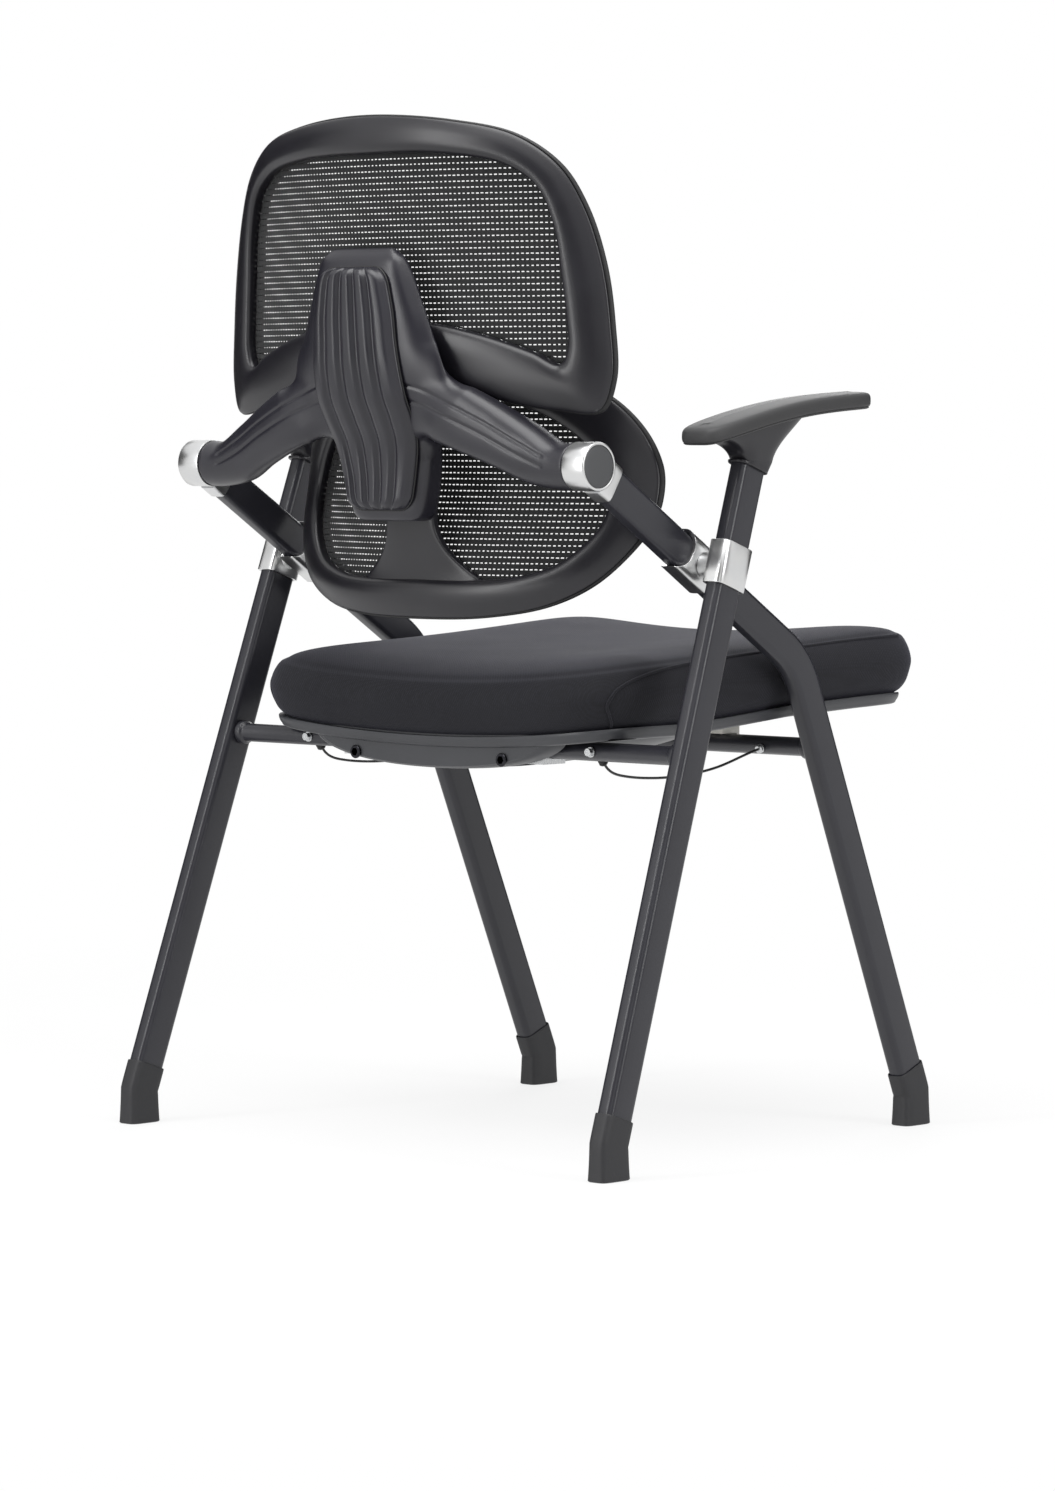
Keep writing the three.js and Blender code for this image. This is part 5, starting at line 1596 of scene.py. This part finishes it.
def rim_y(y):
    """Draws the front of the rim in under the cushion."""
    return y + RIM_FRONT_INSET * smoothstep(RIM_FRONT_Y, SEAT_Y[1], y)


def rim_point(p, drop):
    return Vector((p.x, rim_y(p.y), seat_base(p.x, p.y) - seat_sag(p.y) - FIT - drop))


def rim_shape():
    bead = [(RIM_INSET + inset, drop) for inset, drop in RIM_BEAD]
    under = [(inset, RIM_THICK) for inset, drop in reversed(RIM_FLAT)]
    sections = [*RIM_FLAT, *bead, *under]
    return skin([[rim_point(p, drop) for p in seat_outline(inset)] for inset, drop in sections])


def belly_shape():
    rings = []
    for length, half, low in smooth_line(BELLY_SHARES, 72):
        y = mix(*BELLY_Y, length)
        top = seat_base(0, y) - RIM_THICK / 4
        under = mix(*BELLY_LOW_Z, low)
        across, upright = X_AXIS * (half * BELLY_HALF), Z_AXIS * (top - under)
        ring = oval(Vector((0, y, top)), across, upright, BELLY_POWER, 192)
        rings.append([Vector((p.x, p.y, min(p.z, top))) for p in ring])
    return skin(rings)


def cut_channel(shape, name):
    """Cuts the slot for the rear bar with a boolean, and returns the cut mesh as points and faces."""
    body = link_mesh(name, shape)
    top = rear_bar.z + BAR_RADIUS + CHANNEL_HEAD
    middle = Vector((0, rear_bar.y, top - CUTTER_HALF))
    block = skin([
        oval(middle + X_AXIS * x, Y_AXIS * CHANNEL_HALF, Z_AXIS * CUTTER_HALF, 24, 48)
        for x in (-CUTTER_REACH, CUTTER_REACH)
    ])
    cutter = link_mesh(f"{name}_cutter", block)
    cut = body.modifiers.new("channel", "BOOLEAN")
    cut.object = cutter
    cut.operation = "DIFFERENCE"
    cut.solver = "EXACT"
    return after_modifiers(body, cutter)


pan = together(cut_channel(rim_shape(), "rim"), cut_channel(belly_shape(), "belly"))
add_piece("seat_pan_shell", pan, "seat", pan_finish, ["seat_pan"], sharp=35)

# %% [markdown]
# ## Small fittings
# Hex nuts and socket screws hold the ropes and the seat. They are small but bright, so their
# chamfers matter: a nut is a six-sided prism whose corners are turned off by a cone.

# %% Nuts, screws and ferrules
NUT_RADIUS = 4.1
WASHER_RADIUS = 5
WASHER_THICK = 1.4
NUT_THICK = 4
BOLT_X = 97.06
BOLT_Z = 371
BOLT_HEAD = 6.5


def hex_ring(middle, radius, limit):
    """A hexagon in X and Z whose corners are turned down to a limit radius."""
    points = []
    for i in range(48):
        turn = 2 * math.pi * (i + 0.5) / 48
        flat = radius * math.cos(math.pi / 6) / math.cos((turn % (math.pi / 3)) - math.pi / 6)
        reach = min(flat, limit)
        points.append(middle + Vector((math.cos(turn) * reach, 0, math.sin(turn) * reach)))
    return points


def rope_nut():
    face = rear_bar.y + BAR_RADIUS + FIT
    middle = Vector((ROPE_X, face, rear_bar.z))
    profile = [
        (2, -0.2), (WASHER_RADIUS - 0.3, -0.2), (WASHER_RADIUS, 0.2), (WASHER_RADIUS, WASHER_THICK - 0.3),
        (WASHER_RADIUS - 0.3, WASHER_THICK), (2, WASHER_THICK),
    ]
    washer = turned(profile, middle, Y_AXIS)
    start = WASHER_THICK
    steps = ((0, 3.8), (0.5, NUT_RADIUS), (NUT_THICK - 0.6, NUT_RADIUS), (NUT_THICK, 3.6))
    body = skin([hex_ring(middle + Y_AXIS * (start + along), NUT_RADIUS, limit) for along, limit in steps])
    stud = turned([(2, 0), (2, start + NUT_THICK - 0.6), (1.7, start + NUT_THICK - 0.1)], middle, Y_AXIS)
    return together(washer, body, stud)


def seat_screw():
    middle = Vector((BOLT_X, BELLY_Y[0], BOLT_Z))
    profile = [
        (3, -4), (3, 0.3), (BOLT_HEAD - 0.2, 0.3), (BOLT_HEAD, 0.8), (BOLT_HEAD, 2.1),
        (BOLT_HEAD - 0.7, 3), (4.2, 3),
    ]
    steps = ((3, 4.2), (3, 3.3), (1, 3.2))
    socket = skin([hex_ring(middle + Y_AXIS * along, radius, radius) for along, radius in steps])
    return together(turned(profile, middle, Y_AXIS), socket)


def ferrule(bar, angle):
    way = Vector((0, math.cos(angle), math.sin(angle)))
    start = BAR_RADIUS + FIT
    end = start + FERRULE_LENGTH
    groove = FERRULE_RADIUS - 0.5
    profile = [
        (FERRULE_RADIUS - 0.3, start), (FERRULE_RADIUS, start + 0.4), (FERRULE_RADIUS, start + 2),
        (groove, start + 2.4), (groove, start + 3), (FERRULE_RADIUS, start + 3.4),
        (FERRULE_RADIUS, end - 1.5), (FERRULE_RADIUS * 0.72, end - 0.1), (ROPE_RADIUS + 0.2, end),
    ]
    return turned(profile, Vector((ROPE_X, bar[0], bar[1])), way, 32)


add_pair("rope_nut_hex", rope_nut(), "rear_frame", zinc_finish, "rope_nut", sharp=30)
add_pair("seat_screw", seat_screw(), "seat", black_oxide_finish, "seat_bolt", sharp=30)
rear_end, front_end = ferrule(REAR_BAR, REAR_ROPE_ANGLE), ferrule(FRONT_BAR, FRONT_ROPE_ANGLE)
add_pair("rear_ferrule", rear_end, "rear_frame", black_rubber_and_gap_shade_finish, "rope_ferrule_rear")
add_pair("front_ferrule", front_end, "front_frame", zinc_finish, "rope_ferrule_front")

# %% [markdown]
# Pins, axles, bushes, hinge brackets and seat rests are simple turned or sawn pieces, and most of
# them are hidden. Their solids from the CAD model are right as they are, so they only get a finish.

# %% Finishes for the solids that stay
STAYING = {
    "pivot_pin": zinc_finish,
    "hub_axle": zinc_finish,
    "tilt_bush": bush_finish,
    "seat_hinge_bracket": zinc_finish,
    "seat_rest": bush_finish,
}
for name, material in STAYING.items():
    for side in ("left", "right"):
        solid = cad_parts[f"{name}_{side}"]
        solid.data.materials.clear()
        solid.data.materials.append(material)
print("solids that stay:", len(STAYING) * 2)

# %% [markdown]
# ## Studio
# The picture has a white ground with hardly a shadow. The floor is pale, and for rays from the
# camera part of it glows, which lifts it to white and keeps a soft shadow. The world is white to
# the camera and to reflections, and gives plain soft light. Big lamps above, beside and low
# behind the chair draw long highlights on the tubes. Four broad dark cards stand round the chair
# with gaps between them, as a photographer puts them for chrome: only mirrors see them, and they
# give the polished metal its dark streaks.


# %% Floor and world
FLOOR_GLOW = 0.8
FLOOR_FADE = (0.55, 2.2)  # metres from the middle, where the floor turns white
FLOOR_HALF = 30  # metres
WORLD_FILL = 0.4


def seen_white(tree):
    """1 where a ray comes from the camera, a mirror or glass, and 0 for light on the object."""
    rays = add_node(tree, "ShaderNodeLightPath").outputs
    inputs = {0: rays["Is Camera Ray"], 1: rays["Is Glossy Ray"]}
    first = add_node(tree, "ShaderNodeMath", inputs, operation="MAXIMUM").outputs["Value"]
    inputs = {0: first, 1: rays["Is Transmission Ray"]}
    return add_node(tree, "ShaderNodeMath", inputs, operation="MAXIMUM").outputs["Value"]


def add_sheet(name, half_width, half_depth, material):
    """A flat rectangle, half_width and half_depth metres from its middle to its edges."""
    mesh = bpy.data.meshes.new(name)
    corners = [(x * half_width, y * half_depth, 0) for x, y in ((-1, -1), (1, -1), (1, 1), (-1, 1))]
    mesh.from_pydata(corners, [], [(0, 1, 2, 3)])
    mesh.materials.append(material)
    return bpy.data.objects.new(name, mesh)


def add_floor():
    settings = {"Base Color": colour("#f4f4f4"), "Roughness": 0.9, "Specular IOR Level": 0.1}
    material, tree, shader, place = new_finish("pale_studio_floor", settings)
    glow = add_node(tree, "ShaderNodeEmission", {"Color": (1, 1, 1, 1), "Strength": 1.0})
    reach = add_node(tree, "ShaderNodeVectorMath", {0: place}, operation="LENGTH")
    inputs = {
        "Value": reach.outputs["Value"], "From Min": FLOOR_FADE[0], "From Max": FLOOR_FADE[1],
        "To Min": FLOOR_GLOW, "To Max": 1.0,
    }
    fade = add_node(tree, "ShaderNodeMapRange", inputs, interpolation_type="SMOOTHSTEP").outputs["Result"]
    share = add_node(tree, "ShaderNodeMath", {0: seen_white(tree), 1: fade}, operation="MULTIPLY")
    inputs = {"Fac": share.outputs["Value"], 1: shader.outputs["BSDF"], 2: glow.outputs["Emission"]}
    both = add_node(tree, "ShaderNodeMixShader", inputs)
    output = next(node for node in tree.nodes if node.type == "OUTPUT_MATERIAL")
    tree.links.new(both.outputs["Shader"], output.inputs["Surface"])
    floor = add_sheet("studio_floor", FLOOR_HALF, FLOOR_HALF, material)
    bpy.context.scene.collection.objects.link(floor)


def add_world():
    world = bpy.data.worlds.new("studio_world")
    bpy.context.scene.world = world
    world.use_nodes = True
    tree = world.node_tree
    tree.nodes.clear()
    inputs = {"Value": seen_white(tree), "To Min": WORLD_FILL, "To Max": 1.0}
    strength = add_node(tree, "ShaderNodeMapRange", inputs).outputs["Result"]
    light = add_node(tree, "ShaderNodeBackground", {"Color": (1, 1, 1, 1), "Strength": strength})
    add_node(tree, "ShaderNodeOutputWorld", {"Surface": light.outputs["Background"]})


add_floor()
add_world()


# %% Lamps and cards
def aim(thing, place, target):
    thing.location = place
    thing.rotation_euler = (Vector(place) - Vector(target)).to_track_quat("Z", "Y").to_euler()
    bpy.context.scene.collection.objects.link(thing)


def add_lamp(name, place, target, size, power):
    data = bpy.data.lights.new(name, "AREA")
    data.shape = "RECTANGLE"
    data.size, data.size_y = size
    data.energy = power
    lamp = bpy.data.objects.new(name, data)
    aim(lamp, place, target)
    print("lamp:", name, power, "W")


MIDDLE = (0, 0, 0.55)
add_lamp("top_softbox", (-0.3, 0.6, 2.7), MIDDLE, (2.0, 2.0), 56)
add_lamp("left_softbox", (0.9, 3.1, 1.5), MIDDLE, (0.6, 2.0), 34)
add_lamp("low_softbox", (0.5, 3.2, 0.3), (0, 0, 0.45), (1.6, 0.4), 9)
add_lamp("right_softbox", (-3.1, -0.2, 1.5), MIDDLE, (0.7, 2.0), 36)
add_lamp("rim_softbox", (1.8, -2.6, 1.7), MIDDLE, (1.2, 1.8), 26)

CARD_SIZE = (5.6, 2.9)  # metres
CARD_REACH = 4.6
CARD_HEIGHT = 1.45
CARD_TURN = -2


def add_card(name, place):
    """A matt black card that only mirrors see."""
    material = new_finish(name, {"Base Color": colour("#101010"), "Roughness": 1.0})[0]
    card = add_sheet(name, CARD_SIZE[0] / 2, CARD_SIZE[1] / 2, material)
    aim(card, place, MIDDLE)
    card.visible_camera = False
    card.visible_diffuse = False
    card.visible_shadow = False


for azimuth in range(0, 360, 90):
    turn = math.radians(azimuth + CARD_TURN)
    place = (CARD_REACH * math.sin(turn), CARD_REACH * math.cos(turn), CARD_HEIGHT)
    add_card(f"dark_card_{azimuth}", place)

# %% [markdown]
# ## Finish
# Colours are shown as written with the standard view transform.

# %% Show colours as written
bpy.context.scene.view_settings.view_transform = "Standard"
